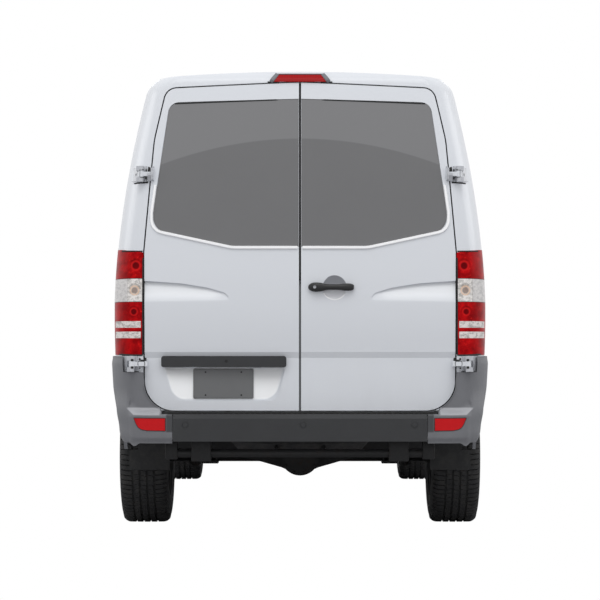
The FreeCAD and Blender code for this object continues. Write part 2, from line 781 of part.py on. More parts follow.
mirror_right = union([head_mirror, foot.cut(zone_skin(0, "side"))])
feature("front_door_right_mirror", mirror_right)
feature("front_door_left_mirror", mirrored(mirror_right))

# Sides: trim round the arches and along the flanks, and mud flaps
arch_ring = arch(REAR_AXLE, size("arch_radius") + 40).cut(rear_arch)
front_ring = arch(FRONT_AXLE, size("arch_radius") + 40).cut(front_arch)
rear_lip = layer(-18, 0, "side").common(arch_ring).common(block((700, 1300), (-3300, 3300), (sill, 1000)))
lip_zone = block((700, 1300), (-3300, 3300), (sill, 1000))
front_lip = layer(-18, 0, "front right").common(front_ring).common(lip_zone)
moulding = layer(-14, 0, "side")
strip_zone = block((800, 1300), (REAR_AXLE + 510, size("slide_door_rear") - GAP - 2), (780, 870))
strip = moulding.common(strip_zone)
trim = Part.makeCompound(rear_lip.Solids + front_lip.Solids + strip.Solids)
both_sides("side_trim", trim)

# Rear bumper
bumper_low, bumper_high = size("bumper_bottom"), size("bumper_top")
side_reach = size("bumper_half_width")
plan_outline = [
    (-side_reach, REAR_AXLE - 380, 0), (-side_reach, -HALF, size("bumper_corner_radius")),
    (side_reach, -HALF, size("bumper_corner_radius")), (side_reach, REAR_AXLE - 380, 0),
]
tuck = size("bumper_side_tuck")
across_outline = [
    (-side_reach, bumper_high + 5, 0), (side_reach, bumper_high + 5, 0),
    (side_reach - tuck, bumper_low - 12, size("bumper_low_radius")),
    (tuck - side_reach, bumper_low - 12, size("bumper_low_radius")),
]
bumper_form = prism(plan_outline, "top", bumper_low - 10, bumper_high)
bumper_form = bumper_form.common(prism(across_outline, "rear", -3300, 0)).cut(skin(0))
wide_arch = arch(REAR_AXLE, size("arch_radius") + 40)
bumper_form = bumper_form.cut([wide_arch, mirrored(wide_arch)])
centre_half = size("bumper_centre_half")
centre = bumper_form.common(block((-centre_half, centre_half), (-FAR, 0), (bumper_low, bumper_high)))
chamfer = size("bumper_chamfer")
chamfer_outline = [
    (-HALF - 5, bumper_high - chamfer + 3, 0),
    (-HALF + chamfer, bumper_high + 5, 0),
    (-HALF - 5, bumper_high + 5, 0),
]
centre = centre.cut(prism(chamfer_outline, "side", -1300, 1300))
feature("rear_bumper", centre)
corner_piece = bumper_form.common(block((centre_half + 2, 1300), (-FAR, 0), (bumper_low - 10, bumper_high)))
trim_top = size("corner_trim_top")
trim_outline = [
    (690, bumper_high - 4, 0), (1100, bumper_high - 4, 0), (1100, trim_top, 0), (900, trim_top, 0),
    (900, 851, 0), (690, 851, 0),
]
side_clad = layer(-size("corner_trim_proud"), 0, "side")
side_clad = side_clad.common(prism(trim_outline, "rear", -3300, REAR_AXLE - 380))
door_gap = prism(rear_door_outline, "rear", *rear_zone, size("rear_seam") + 1)
side_clad = side_clad.cut([door_gap, wide_arch])
ledge_low, ledge_high = size("ledge_inner"), size("ledge_outer")
ledge_outline = [
    (-HALF + 6, bumper_high - 14, 0), (-HALF + 6, bumper_high - 2, 0),
    (REAR_FACE + 14, size("ledge_top"), 0), (REAR_FACE + 60, size("ledge_top"), 0),
    (REAR_FACE + 60, bumper_high - 14, 0),
]
ledge = prism(ledge_outline, "side", ledge_low, ledge_high).cut(zone_skin(0, "rear right"))
ledge = ledge.common(prism(plan_outline, "top", bumper_low, bumper_high + 60))
corner_piece = union([corner_piece, side_clad, ledge])
reflector_outline = [(673, 555, 10), (804, 555, 10), (830, 625, 10), (671, 625, 10)]
reflector_form = prism(reflector_outline, "rear", -3300, -HALF + 8)
reflector = reflector_form.common(block((600, 900), (-HALF - 2, 0), (0, 2000)))
corner_piece = corner_piece.cut(prism(reflector_outline, "rear", -3300, -HALF + 8))
both_sides("bumper_corners", corner_piece)
both_sides("rear_reflectors", reflector)


# Floor with wheel housings, firewall and the sill under the rear doors

floor_low = size("floor_top") - size("floor_thickness")
tub_wall = size("tub_wall")
firewall = size("firewall")
inner_skin = skin(WALL)


def housing(y, half, low):
    """A wheel housing on the right-hand side: a half drum with a wall at its inner end, above a height."""
    radius = size("arch_radius")
    drum = arch(y, radius + tub_wall, half - tub_wall).cut(arch(y, radius, half))
    above = block((0, 1300), (y - 600, y + 600), (low, 1200))
    return drum.common(above).common(inner_skin)


tubs = []
drums = []
for axle, half, low in (
    (REAR_AXLE, size("rear_tub_half_width"), size("tyre_radius") + 130),
    (FRONT_AXLE, size("tub_half_width"), size("tyre_radius")),
):
    tub = housing(axle, half, low)
    drum = arch(axle, size("arch_radius") + tub_wall, half - tub_wall)
    drums += [drum, mirrored(drum)]
    tubs += [tub, mirrored(tub)]
floor = block((-1300, 1300), (-FAR, firewall + 30), (floor_low, size("floor_top")))
wall_plate = block((-1300, 1300), (firewall, firewall + 30), (floor_low, 1325))
floor = floor.cut(wall_plate).common(inner_skin).cut(drums)
firewall_plate = wall_plate.common(inner_skin).cut(drums)
rear_sill = rear_shell.common(
    block((0, door_edge), (-3300, -2450), (size("bumper_bottom") + 5, size("door_bottom") - size("rear_seam")))
)
floor = union([floor, rear_sill, mirrored(rear_sill)])
feature("floor_panel", floor)
feature("firewall", firewall_plate)
feature("wheel_housings", Part.makeCompound([solid for tub in tubs for solid in tub.Solids]))
board_half, board_front = size("board_half_width"), size("slide_door_front") - 60
load_board = block((-board_half, board_half), (REAR_FACE + WALL + 45, board_front), (
    size("floor_top"), size("floor_top") + size("board_thickness")))
feature("load_board", load_board)

dash_outline = [
    (1560, 960, 60), (1500, 1190, 60), (1640, 1290, 120),
    (firewall, 1325, 0), (firewall, 900, 0), (1700, 900, 60),
]
feature("dashboard", prism(dash_outline, "side", -820, 820).common(skin(WALL + 1)))
seat_outline = [
    (700, 692, 20), (1190, 692, 20), (1230, 1010, 60), (800, 1000, 60),
    (700, 1700, 40), (590, 1700, 40), (660, 900, 100),
]
seat = prism(seat_outline, "side", 260, 760)
seat.translate(Vector(0, 0, size("floor_top") - 692))
both_sides("seats", seat)


# Plain pieces: Part primitives and PartDesign bodies whose sizes are bound to the sheet


def box(name, x, y, z, length, width, height):
    """A box from expressions: its corner and its extent along X, Y and Z."""
    item = doc.addObject("Part::Box", name)
    bind(item, Length=length, Width=width, Height=height)
    bind(item, Placement__Base__x=x, Placement__Base__y=y, Placement__Base__z=z)
    return item


def rod(name, x, y, z, radius, height, axis="z"):
    """A cylinder from expressions, starting at a point and running along +X, +Y or +Z."""
    item = doc.addObject("Part::Cylinder", name)
    turn = {"x": Rotation(Vector(0, 1, 0), 90), "y": Rotation(Vector(1, 0, 0), -90), "z": Rotation()}
    item.Placement = Placement(Vector(), turn[axis])
    bind(item, Radius=radius, Height=height)
    bind(item, Placement__Base__x=x, Placement__Base__y=y, Placement__Base__z=z)
    return item


def fuse(name, items):
    """A fused piece."""
    item = doc.addObject("Part::MultiFuse", name)
    item.Shapes = items
    item.Refine = True
    return item


def group(name, items):
    """Like pieces that share a file."""
    item = doc.addObject("Part::Compound", name)
    item.Links = items
    return item


def mirror_of(name, item):
    """The mirror image of a piece on the other side of the van."""
    image = doc.addObject("Part::Mirroring", name)
    image.Source = item
    image.Normal = Vector(1, 0, 0)
    return image


def cut(name, base, tool):
    """A piece with another taken away."""
    item = doc.addObject("Part::Cut", name)
    item.Base = base
    item.Tool = tool
    return item


probe = doc.addObject("App::FeaturePython", "probe")
probe.addProperty("App::PropertyFloat", "value")


def present(text):
    """The present value of an expression of the sheet's aliases."""
    probe.setExpression("value", ALIASES.sub(r"sizes.\1", text))
    doc.recompute([probe])
    return probe.value


def outline_sketch(body, role, points):
    """A closed sketch on a plane of the body, its corners bound to the sheet as (across, up) expressions."""
    plane = next(f for f in body.Origin.OriginFeatures if f.Role == role)
    sketch = body.newObject("Sketcher::SketchObject", body.Name + "_outline")
    sketch.AttachmentSupport = [(plane, "")]
    sketch.MapMode = "FlatFace"
    corners = [Vector(present(across), present(up), 0) for across, up in points]
    count = len(corners)
    for i, corner_point in enumerate(corners):
        sketch.addGeometry(Part.LineSegment(corner_point, corners[(i + 1) % count]), False)
    for i in range(count):
        sketch.addConstraint(Sketcher.Constraint("Coincident", i, 2, (i + 1) % count, 1))
    for i, (across, up) in enumerate(points):
        x_place = sketch.addConstraint(Sketcher.Constraint("DistanceX", -1, 1, i, 1, corners[i].x))
        y_place = sketch.addConstraint(Sketcher.Constraint("DistanceY", -1, 1, i, 1, corners[i].y))
        sketch.setExpression(f"Constraints[{x_place}]", ALIASES.sub(r"sizes.\1", across))
        sketch.setExpression(f"Constraints[{y_place}]", ALIASES.sub(r"sizes.\1", up))
    return sketch


def revolved(name, axis, points):
    """A PartDesign body revolved about one of its sketch's axes."""
    body = doc.addObject("PartDesign::Body", name)
    sketch = outline_sketch(body, "XZ_Plane", points)
    turn = body.newObject("PartDesign::Revolution", name + "_turn")
    turn.Profile = sketch
    turn.ReferenceAxis = (sketch, [axis])
    turn.Angle = 360
    body.Tip = turn
    return body


def placed(name, item, x, y, z):
    """A copy of a piece at a place given by expressions."""
    copy = group(name, [item])
    bind(copy, Placement__Base__x=x, Placement__Base__y=y, Placement__Base__z=z)
    return copy


# Wheels: one right-hand rim and tyre, mirrored for the left-hand side

rim_points = [
    ("-rim_width / 2", "rim_radius + 6"), ("-rim_width / 2 + 7", "rim_radius + 6"),
    ("-rim_width / 2 + 7", "rim_radius - 6"), ("-rim_width / 2 + 38", "rim_radius - 6"),
    ("-rim_width / 2 + 48", "rim_radius - 24"), ("rim_width / 2 - 58", "rim_radius - 24"),
    ("rim_width / 2 - 42", "rim_radius - 6"), ("rim_width / 2 - 7", "rim_radius - 6"),
    ("rim_width / 2 - 7", "rim_radius + 6"), ("rim_width / 2", "rim_radius + 6"),
    ("rim_width / 2", "rim_radius - 14"), ("rim_width / 2 - 36", "rim_radius - 16"),
    ("rim_width / 2 - 46", "rim_radius - 36"), ("rim_width / 2 - 28", "rim_radius - 58"),
    ("rim_width / 2 - 20", "hub_radius + 22"), ("rim_width / 2 - 26", "hub_radius"),
    ("rim_width / 2 - 26", "hub_radius / 2"), ("rim_width / 2 - 36", "hub_radius / 2"),
    ("rim_width / 2 - 36", "hub_radius + 4"), ("rim_width / 2 - 32", "hub_radius + 24"),
    ("rim_width / 2 - 40", "rim_radius - 62"), ("rim_width / 2 - 60", "rim_radius - 34"),
    ("-rim_width / 2 + 44", "rim_radius - 34"), ("-rim_width / 2 + 34", "rim_radius - 14"),
    ("-rim_width / 2", "rim_radius - 14"),
]
rim_form = revolved("rim_form", "H_Axis", rim_points)
hand_holes = []
for i in range(8):
    angle = 45 * i
    hole = rod(f"hand_hole_{i}", "rim_width / 2 - 70", f"(rim_radius - 76) * cos({angle})",
               f"(rim_radius - 76) * sin({angle})", "17", "80", "x")
    hand_holes.append(hole)
rim_right = cut("rim_right", rim_form, group("hand_holes", hand_holes))
tyre_points = [
    ("-rim_width / 2 + 7.4", "rim_radius - 5.7"), ("-rim_width / 2 + 7.4", "rim_radius + 9"),
    ("-tyre_width / 2 + 12", "rim_radius + 26"), ("-tyre_width / 2 + 1", "rim_radius + 62"),
    ("-tyre_width / 2", "rim_radius + 92"), ("-tyre_width / 2 + 5", "tyre_radius - 42"),
    ("-tyre_width / 2 + 16", "tyre_radius - 17"), ("-tyre_width / 2 + 34", "tyre_radius - 3"),
    ("-tyre_width / 2 + 62", "tyre_radius"), ("tyre_width / 2 - 62", "tyre_radius"),
    ("tyre_width / 2 - 34", "tyre_radius - 3"), ("tyre_width / 2 - 16", "tyre_radius - 17"),
    ("tyre_width / 2 - 5", "tyre_radius - 42"), ("tyre_width / 2", "rim_radius + 92"),
    ("tyre_width / 2 - 1", "rim_radius + 62"), ("tyre_width / 2 - 12", "rim_radius + 26"),
    ("rim_width / 2 - 7.4", "rim_radius + 9"), ("rim_width / 2 - 7.4", "rim_radius - 5.7"),
]
tyre_form = revolved("tyre_form", "H_Axis", tyre_points)
rim_left = mirror_of("rim_left", rim_right)
for place, track, y in (("rear", "rear_track", REAR_AXLE_AT), ("front", "front_track", FRONT_AXLE_AT)):
    for hand, sign, rim in (("left", "-", rim_left), ("right", "", rim_right)):
        x = f"{sign}{track} / 2"
        node(f"tyre_{place}_{hand}", placed(f"tyre_{place}_{hand}", tyre_form, x, y, "tyre_radius"))
        node(f"rim_{place}_{hand}", placed(f"rim_{place}_{hand}", rim, x, y, "tyre_radius"))

# Rear axle: tubes, housing with cover, brake drums and stubs
stub = "hub_radius / 2 - 0.3"
axle_parts = [
    rod("axle_tube", "-rear_track / 2 + 80", REAR_AXLE_AT, "tyre_radius", "axle_tube_radius",
        "rear_track - 160", "x"),
    rod("axle_stubs", "-rear_track / 2 - rim_width / 2 + 14", REAR_AXLE_AT, "tyre_radius", stub,
        "rear_track + rim_width - 28", "x"),
    rod("axle_cover", "0", f"{REAR_AXLE_AT} - diff_length / 2", "tyre_radius - 8", "diff_radius - 8",
        "diff_length", "y"),
    rod("drum_right", "rear_track / 2 - 60", REAR_AXLE_AT, "tyre_radius", "rim_radius - 56", "92", "x"),
    rod("drum_left", "-rear_track / 2 - 32", REAR_AXLE_AT, "tyre_radius", "rim_radius - 56", "92", "x"),
]
housing_body = doc.addObject("PartDesign::Body", "axle_housing")
housing_points = [
    ("-diff_radius - 175", "tyre_radius - 20"), ("-diff_radius + 15", "tyre_radius - 74"),
    ("-diff_radius + 60", "tyre_radius - 95"), ("diff_radius - 60", "tyre_radius - 95"),
    ("diff_radius - 15", "tyre_radius - 74"), ("diff_radius + 175", "tyre_radius - 20"),
    ("diff_radius + 175", "tyre_radius + 20"), ("diff_radius - 40", "tyre_radius + 92"),
    ("-diff_radius + 40", "tyre_radius + 92"), ("-diff_radius - 175", "tyre_radius + 20"),
]
housing_sketch = outline_sketch(housing_body, "XZ_Plane", housing_points)
housing_pad = housing_body.newObject("PartDesign::Pad", "axle_housing_pad")
housing_pad.Profile = housing_sketch
housing_pad.Midplane = True
housing_pad.setExpression("Length", "sizes.diff_length - 120")
housing_body.Tip = housing_pad
axle_housing = placed("axle_housing_placed", housing_body, "0", REAR_AXLE_AT, "0")
node("rear_axle", fuse("rear_axle_fused", axle_parts + [axle_housing]))

# Chassis frame: two rails, crossmembers and the front bumper beam
rail_y = "-overall_length / 2 + bumper_reach + wall_thickness + 20"
rail_z = "floor_top - floor_thickness - rail_height"
rail_right = box("rail_right", "rail_half_gap", rail_y, rail_z, "rail_width",
                 "overall_length - bumper_reach - wall_thickness - 278", "rail_height")
rail_left = mirror_of("rail_left", rail_right)
members = []
for i, y in enumerate((f"{REAR_AXLE_AT} - 290", f"{REAR_AXLE_AT} + 420",
                       f"{REAR_AXLE_AT} + 1400", f"{FRONT_AXLE_AT} - 1300", f"{FRONT_AXLE_AT} - 560")):
    members.append(box(f"crossmember_{i}", "-rail_half_gap - 5", y, "floor_top - floor_thickness - 60",
                       "2 * rail_half_gap + 10", "60", "60"))
beam = box("bumper_beam", "-rail_half_gap - 260", "overall_length / 2 - 258", rail_z,
           "2 * rail_half_gap + 520", "60", "rail_height")
radiator = box("radiator", "-rail_half_gap", "overall_length / 2 - 258", "radiator_bottom",
               "2 * rail_half_gap", "44", "radiator_height")
node("chassis_frame", fuse("chassis_fused", [rail_right, rail_left, beam, radiator] + members))

# Front suspension: crossmember on posts, lower arms and struts whose eyes carry the steering knuckles
king = "(front_track / 2 - kingpin_inset)"
low_eye_z = "tyre_radius - rim_radius + 54"
high_eye_z = "tyre_radius + rim_radius - 86"
cross = box("front_crossmember", "-rail_half_gap - rail_width", f"{FRONT_AXLE_AT} - 60", low_eye_z,
            "2 * rail_half_gap + 2 * rail_width", "120", "50")
post = box("crossmember_post", "rail_half_gap", f"{FRONT_AXLE_AT} - 45", f"{low_eye_z} + 40",
           "rail_width", "90", f"{rail_z} - ({low_eye_z}) - 40")
arm_low = box("lower_arm", "rail_half_gap + rail_width - 5", f"{FRONT_AXLE_AT} - 38", low_eye_z,
              f"{king} - rail_half_gap - rail_width + 5", "76", "26")
eye_low = rod("lower_eye", king, FRONT_AXLE_AT, low_eye_z, "42", "26")
arm_high = box("strut_arm", f"{king} - 120", f"{FRONT_AXLE_AT} - 30", high_eye_z, "120", "60", "26")
eye_high = rod("upper_eye", king, FRONT_AXLE_AT, high_eye_z, "38", "26")
strut = rod("strut", f"{king} - 120", FRONT_AXLE_AT, high_eye_z, "44",
            f"tyre_radius + arch_radius - 2.2 - ({high_eye_z})")
pin_hole = rod("kingpin_hole", king, FRONT_AXLE_AT, "0", "20.3", "800")
half_parts = fuse("suspension_right_fused", [post, arm_low, eye_low, arm_high, eye_high, strut])
half_front = cut("suspension_right", half_parts, pin_hole)
other_half = mirror_of("suspension_left", half_front)
node("front_suspension", fuse("front_suspension_fused", [cross, half_front, other_half]))

knuckle_parts = [
    rod("kingpin", king, FRONT_AXLE_AT, f"{low_eye_z} - 8", "20", f"{high_eye_z} - ({low_eye_z}) + 40"),
    rod("kingpin_boss", king, FRONT_AXLE_AT, f"{low_eye_z} + 32", "34", f"{high_eye_z} - ({low_eye_z}) - 38"),
    rod("hub_carrier", f"{king} - 20", FRONT_AXLE_AT, "tyre_radius", "62", "60", "x"),
    rod("brake_disc", f"{king} + 44", FRONT_AXLE_AT, "tyre_radius", "rim_radius - 58", "28", "x"),
    rod("spindle", king, FRONT_AXLE_AT, "tyre_radius", stub, "kingpin_inset + rim_width / 2 - 14", "x"),
]
knuckle_right = node("knuckle_right", fuse("knuckle_right_fused", knuckle_parts))
node("knuckle_left", mirror_of("knuckle_left_mirror", knuckle_right))

# Engine, gearbox and propeller shaft
engine = box("engine_block", "-engine_width / 2", "firewall + 50", "floor_top - 190",
             "engine_width", "engine_length", "engine_height")
gearbox = rod("gearbox", "0", "firewall - 620", "floor_top - 210", "128", "672", "y")
mounts = box("engine_mounts", "-rail_half_gap", f"{FRONT_AXLE_AT} + 480", "floor_top - 130",
             "2 * rail_half_gap", "60", "40")
shaft = rod("propeller_shaft", "0", f"{REAR_AXLE_AT} + diff_length / 2", "tyre_radius + 20", "shaft_radius",
            f"firewall - 620 - ({REAR_AXLE_AT}) - diff_length / 2", "y")
node("driveline", fuse("driveline_fused", [engine, gearbox, mounts, shaft]))

# Exhaust, tank and spare wheel
pipe = rod("exhaust_pipe", "300", f"{REAR_AXLE_AT} + 800", "floor_top - 200", "28", "firewall - 100 - 220", "y")
silencer = rod("silencer", "300", "-350", "floor_top - 200", "86", "720", "y")
outlet = rod("exhaust_outlet", "290", f"{REAR_AXLE_AT} + 836", "floor_top - 200", "26", "570", "x")
hanger = box("exhaust_hanger", "290", "-60", "floor_top - 200", "20", "60", "200 - floor_thickness")
node("exhaust", fuse("exhaust_fused", [pipe, silencer, outlet, hanger]))
tank_body = doc.addObject("PartDesign::Body", "fuel_tank_body")
tank_sketch = outline_sketch(tank_body, "XY_Plane", [
    ("-rail_half_gap - rail_width - 20 - tank_width", "-560"), ("-rail_half_gap - rail_width - 20", "-560"),
    ("-rail_half_gap - rail_width - 20", "-560 + tank_length"),
    ("-rail_half_gap - rail_width - 20 - tank_width", "-560 + tank_length"),
])
tank_pad = tank_body.newObject("PartDesign::Pad", "fuel_tank_pad")
tank_pad.Profile = tank_sketch
tank_pad.setExpression("Length", "sizes.tank_height")
tank_body.Tip = tank_pad
node("fuel_tank", placed("fuel_tank_placed", tank_body, "0", "0", "floor_top - floor_thickness - tank_height"))
spare_points = [
    ("0", "0"), ("spare_radius - 170", "0"), ("spare_radius - 150", "-24"), ("spare_radius - 40", "-24"),
    ("spare_radius", "20"), ("spare_radius", "spare_width - 44"), ("spare_radius - 40", "spare_width - 24"),
    ("0", "spare_width - 24"),
]
spare = revolved("spare_form", "V_Axis", spare_points)
node("spare_wheel", placed("spare_placed", spare, "0", f"{REAR_AXLE_AT} - spare_behind_axle",
                           "floor_top - floor_thickness - spare_width + 24"))

# Leaf springs: leaves from bracket to bracket, a saddle on the axle and a plate under it
spring_x = 500
leaf_outline = []
spring_half = 640
top_z = size("tyre_radius") + size("axle_tube_radius") + 46
for i in range(9):
    share = -1 + i / 4
    leaf_outline.append((REAR_AXLE + spring_half * share, top_z + 118 * share ** 2, 0))
for i in range(9):
    share = 1 - i / 4
    under = top_z + 118 * share ** 2 - 12 - 30 * (1 - abs(share))
    leaf_outline.append((REAR_AXLE + spring_half * share, under, 0))
leaf_pack = prism(leaf_outline, "side", spring_x - 35, spring_x + 35)
pads = [
    block((spring_x - 40, spring_x + 40), (REAR_AXLE - 65, REAR_AXLE + 65), (size("tyre_radius"), top_z - 30)),
    block((spring_x - 45, spring_x + 45), (REAR_AXLE - 70, REAR_AXLE + 70),
          (size("tyre_radius") - 52, size("tyre_radius") - 36)),
]
for dx in (-40, 30):
    for dy in (-56, 44):
        pads.append(block((spring_x + dx, spring_x + dx + 10), (REAR_AXLE + dy, REAR_AXLE + dy + 12),
                          (size("tyre_radius") - 52, top_z + 14)))
for way in (-1, 1):
    end = REAR_AXLE + way * (spring_half - 14)
    pads.append(block((460, spring_x + 40), (end - 32, end + 32), (top_z + 100, floor_low)))
tube_start = Vector(350, REAR_AXLE, size("tyre_radius"))
spring = union([leaf_pack] + pads)
spring = spring.cut(Part.makeCylinder(size("axle_tube_radius"), 300, tube_start, Vector(1, 0, 0)))
both_sides("leaf_springs", spring)
flap_y = (REAR_AXLE - 487, REAR_AXLE - 479)
flap = union([
    block((698, 914), flap_y, (318, sill - 5)),
    block((698, 914), flap_y, (sill - 5, floor_low)).common(inner_skin),
])
both_sides("mud_flaps", flap)

doc.recompute()

# Every object must have come out whole before anything is written
for item in doc.Objects:
    if "Invalid" in item.State or "Error" in item.State:
        raise RuntimeError(f"{item.Name} failed: {item.State}")
for name, item in nodes.items():
    if item.Shape.isNull() or not item.Shape.isValid():
        raise RuntimeError(f"{name} has no valid shape")

os.makedirs("parts", exist_ok=True)
for name, item in nodes.items():
    item.Shape.exportStep(f"parts/{name}.step")
print(f"{len(nodes)} pieces written")
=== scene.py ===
"""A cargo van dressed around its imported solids: finishes, tyres, trim, fittings, seats and a plain studio."""

from __future__ import annotations

import json
import logging
import math
from dataclasses import dataclass, field
from enum import Enum
from typing import Any, Callable, Iterable, Protocol, Sequence

import bmesh
import bpy
from mathutils import Matrix, Vector
from mathutils.bvhtree import BVHTree

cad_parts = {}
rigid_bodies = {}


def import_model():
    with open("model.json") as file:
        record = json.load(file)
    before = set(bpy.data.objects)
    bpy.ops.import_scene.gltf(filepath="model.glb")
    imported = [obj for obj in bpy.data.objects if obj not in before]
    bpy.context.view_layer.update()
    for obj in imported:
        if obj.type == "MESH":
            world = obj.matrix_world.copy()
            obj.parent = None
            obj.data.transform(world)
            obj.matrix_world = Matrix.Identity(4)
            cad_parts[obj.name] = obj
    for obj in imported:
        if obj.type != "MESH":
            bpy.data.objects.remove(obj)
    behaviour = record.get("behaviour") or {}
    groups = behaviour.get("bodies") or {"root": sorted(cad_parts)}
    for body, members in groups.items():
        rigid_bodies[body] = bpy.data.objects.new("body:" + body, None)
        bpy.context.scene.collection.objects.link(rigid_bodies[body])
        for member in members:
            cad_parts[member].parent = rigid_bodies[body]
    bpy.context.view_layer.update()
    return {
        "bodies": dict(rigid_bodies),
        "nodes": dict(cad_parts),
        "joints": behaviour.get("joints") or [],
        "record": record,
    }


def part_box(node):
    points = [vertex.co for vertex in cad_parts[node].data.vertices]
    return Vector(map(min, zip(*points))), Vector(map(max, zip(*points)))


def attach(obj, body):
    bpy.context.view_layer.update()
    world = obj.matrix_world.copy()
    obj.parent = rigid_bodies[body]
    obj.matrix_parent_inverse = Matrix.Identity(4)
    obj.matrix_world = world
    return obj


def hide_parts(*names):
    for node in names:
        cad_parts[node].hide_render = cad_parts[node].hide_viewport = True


logging.basicConfig(level=logging.INFO, format="%(name)s %(message)s")
LOG = logging.getLogger("van")

Colour = tuple[float, float, float]
Point = tuple[float, float, float]
Hit = tuple[Vector, Vector]
Outline = Sequence[tuple[float, float]]
Corners = Sequence[tuple[float, float, float]]
Seen = Callable[[float, float], Hit | None]
TAU = 2 * math.pi


def srgb(red: int, green: int, blue: int) -> Colour:
    """Turns screen values from 0 to 255 into linear colour.

    Args:
        red: The red value.
        green: The green value.
        blue: The blue value.

    Returns:
        The linear colour.
    """

    def one(value: int) -> float:
        """The linear value of one channel."""
        share = value / 255
        return share / 12.92 if share <= 0.04045 else ((share + 0.055) / 1.055) ** 2.4

    return one(red), one(green), one(blue)


class Side(Enum):
    """A side of the van, with its sign along X."""

    LEFT = -1
    RIGHT = 1

    @property
    def word(self) -> str:
        """The side's name in node and body names."""
        return self.name.lower()


class Signal:
    """A node's output that can be used in sums, so that masks read as formulas."""

    def __init__(self, tree: Nodes, socket: bpy.types.NodeSocket) -> None:
        """Wraps an output socket of a tree."""
        self.tree = tree
        self.socket = socket

    def math(self, operation: str, *others: Any) -> Signal:
        """Adds one Math node.

        Args:
            operation: The node's operation.
            *others: Further inputs, as signals or numbers.

        Returns:
            The result.
        """
        return self.tree.node("ShaderNodeMath", {"operation": operation}, dict(enumerate((self, *others))))

    def __add__(self, other: Any) -> Signal:
        """Sum."""
        return self.math("ADD", other)

    __radd__ = __add__

    def __sub__(self, other: Any) -> Signal:
        """Difference."""
        return self.math("SUBTRACT", other)

    def __rsub__(self, other: float) -> Signal:
        """A number less this signal."""
        return self.tree.node("ShaderNodeMath", {"operation": "SUBTRACT"}, {0: other, 1: self})

    def __mul__(self, other: Any) -> Signal:
        """Product."""
        return self.math("MULTIPLY", other)

    __rmul__ = __mul__

    def __truediv__(self, other: Any) -> Signal:
        """Quotient."""
        return self.math("DIVIDE", other)

    def __abs__(self) -> Signal:
        """Size without sign."""
        return self.math("ABSOLUTE")

    def over(self, limit: float, soft: float = 0.001) -> Signal:
        """A mask that is 1 where the signal is over a limit, with a soft edge."""
        settings = {"interpolation_type": "SMOOTHSTEP", "clamp": True}
        return self.tree.node("ShaderNodeMapRange", settings, {0: self, 1: limit - soft, 2: limit + soft})

    def under(self, limit: float, soft: float = 0.001) -> Signal:
        """A mask that is 1 where the signal is under a limit."""
        return 1 - self.over(limit, soft)

    def between(self, low: float, high: float, soft: float = 0.001) -> Signal:
        """A mask that is 1 between two limits."""
        return self.over(low, soft) * self.under(high, soft)

    def ramp(self, low: float, high: float) -> Signal:
        """Stretches a span to 0 to 1, clamped."""
        return self.tree.node("ShaderNodeMapRange", {"clamp": True}, {0: self, 1: low, 2: high})


class Nodes:
    """A node tree under construction."""

    def __init__(self, tree: bpy.types.NodeTree) -> None:
        """Takes a tree."""
        self.tree = tree

    def give(self, socket: bpy.types.NodeSocket, value: Any) -> None:
        """Sets or links one input.

        Args:
            socket: The input.
            value: A signal, a linear colour for a colour input, or a plain value.
        """
        if isinstance(value, Signal):
            self.tree.links.new(value.socket, socket)
        elif socket.type == "RGBA" and len(value) == 3:
            socket.default_value = (*value, 1)
        else:
            socket.default_value = value

    def node(
        self,
        kind: str,
        settings: dict[str, Any] | None = None,
        inputs: dict[Any, Any] | None = None,
        output: Any = 0,
    ) -> Signal:
        """Adds a node of any type.

        Args:
            kind: The node's type.
            settings: Properties that are set first.
            inputs: Values or signals by socket name or number.
            output: The output socket's name or number.

        Returns:
            The output as a signal.
        """
        made = self.tree.nodes.new(kind)
        for name, value in (settings or {}).items():
            setattr(made, name, value)
        for key, value in (inputs or {}).items():
            self.give(made.inputs[key], value)
        return Signal(self, made.outputs[output])

    def end(self, kind: str, result: Signal) -> None:
        """Adds the tree's output node."""
        self.give(self.tree.nodes.new(kind).inputs[0], result)


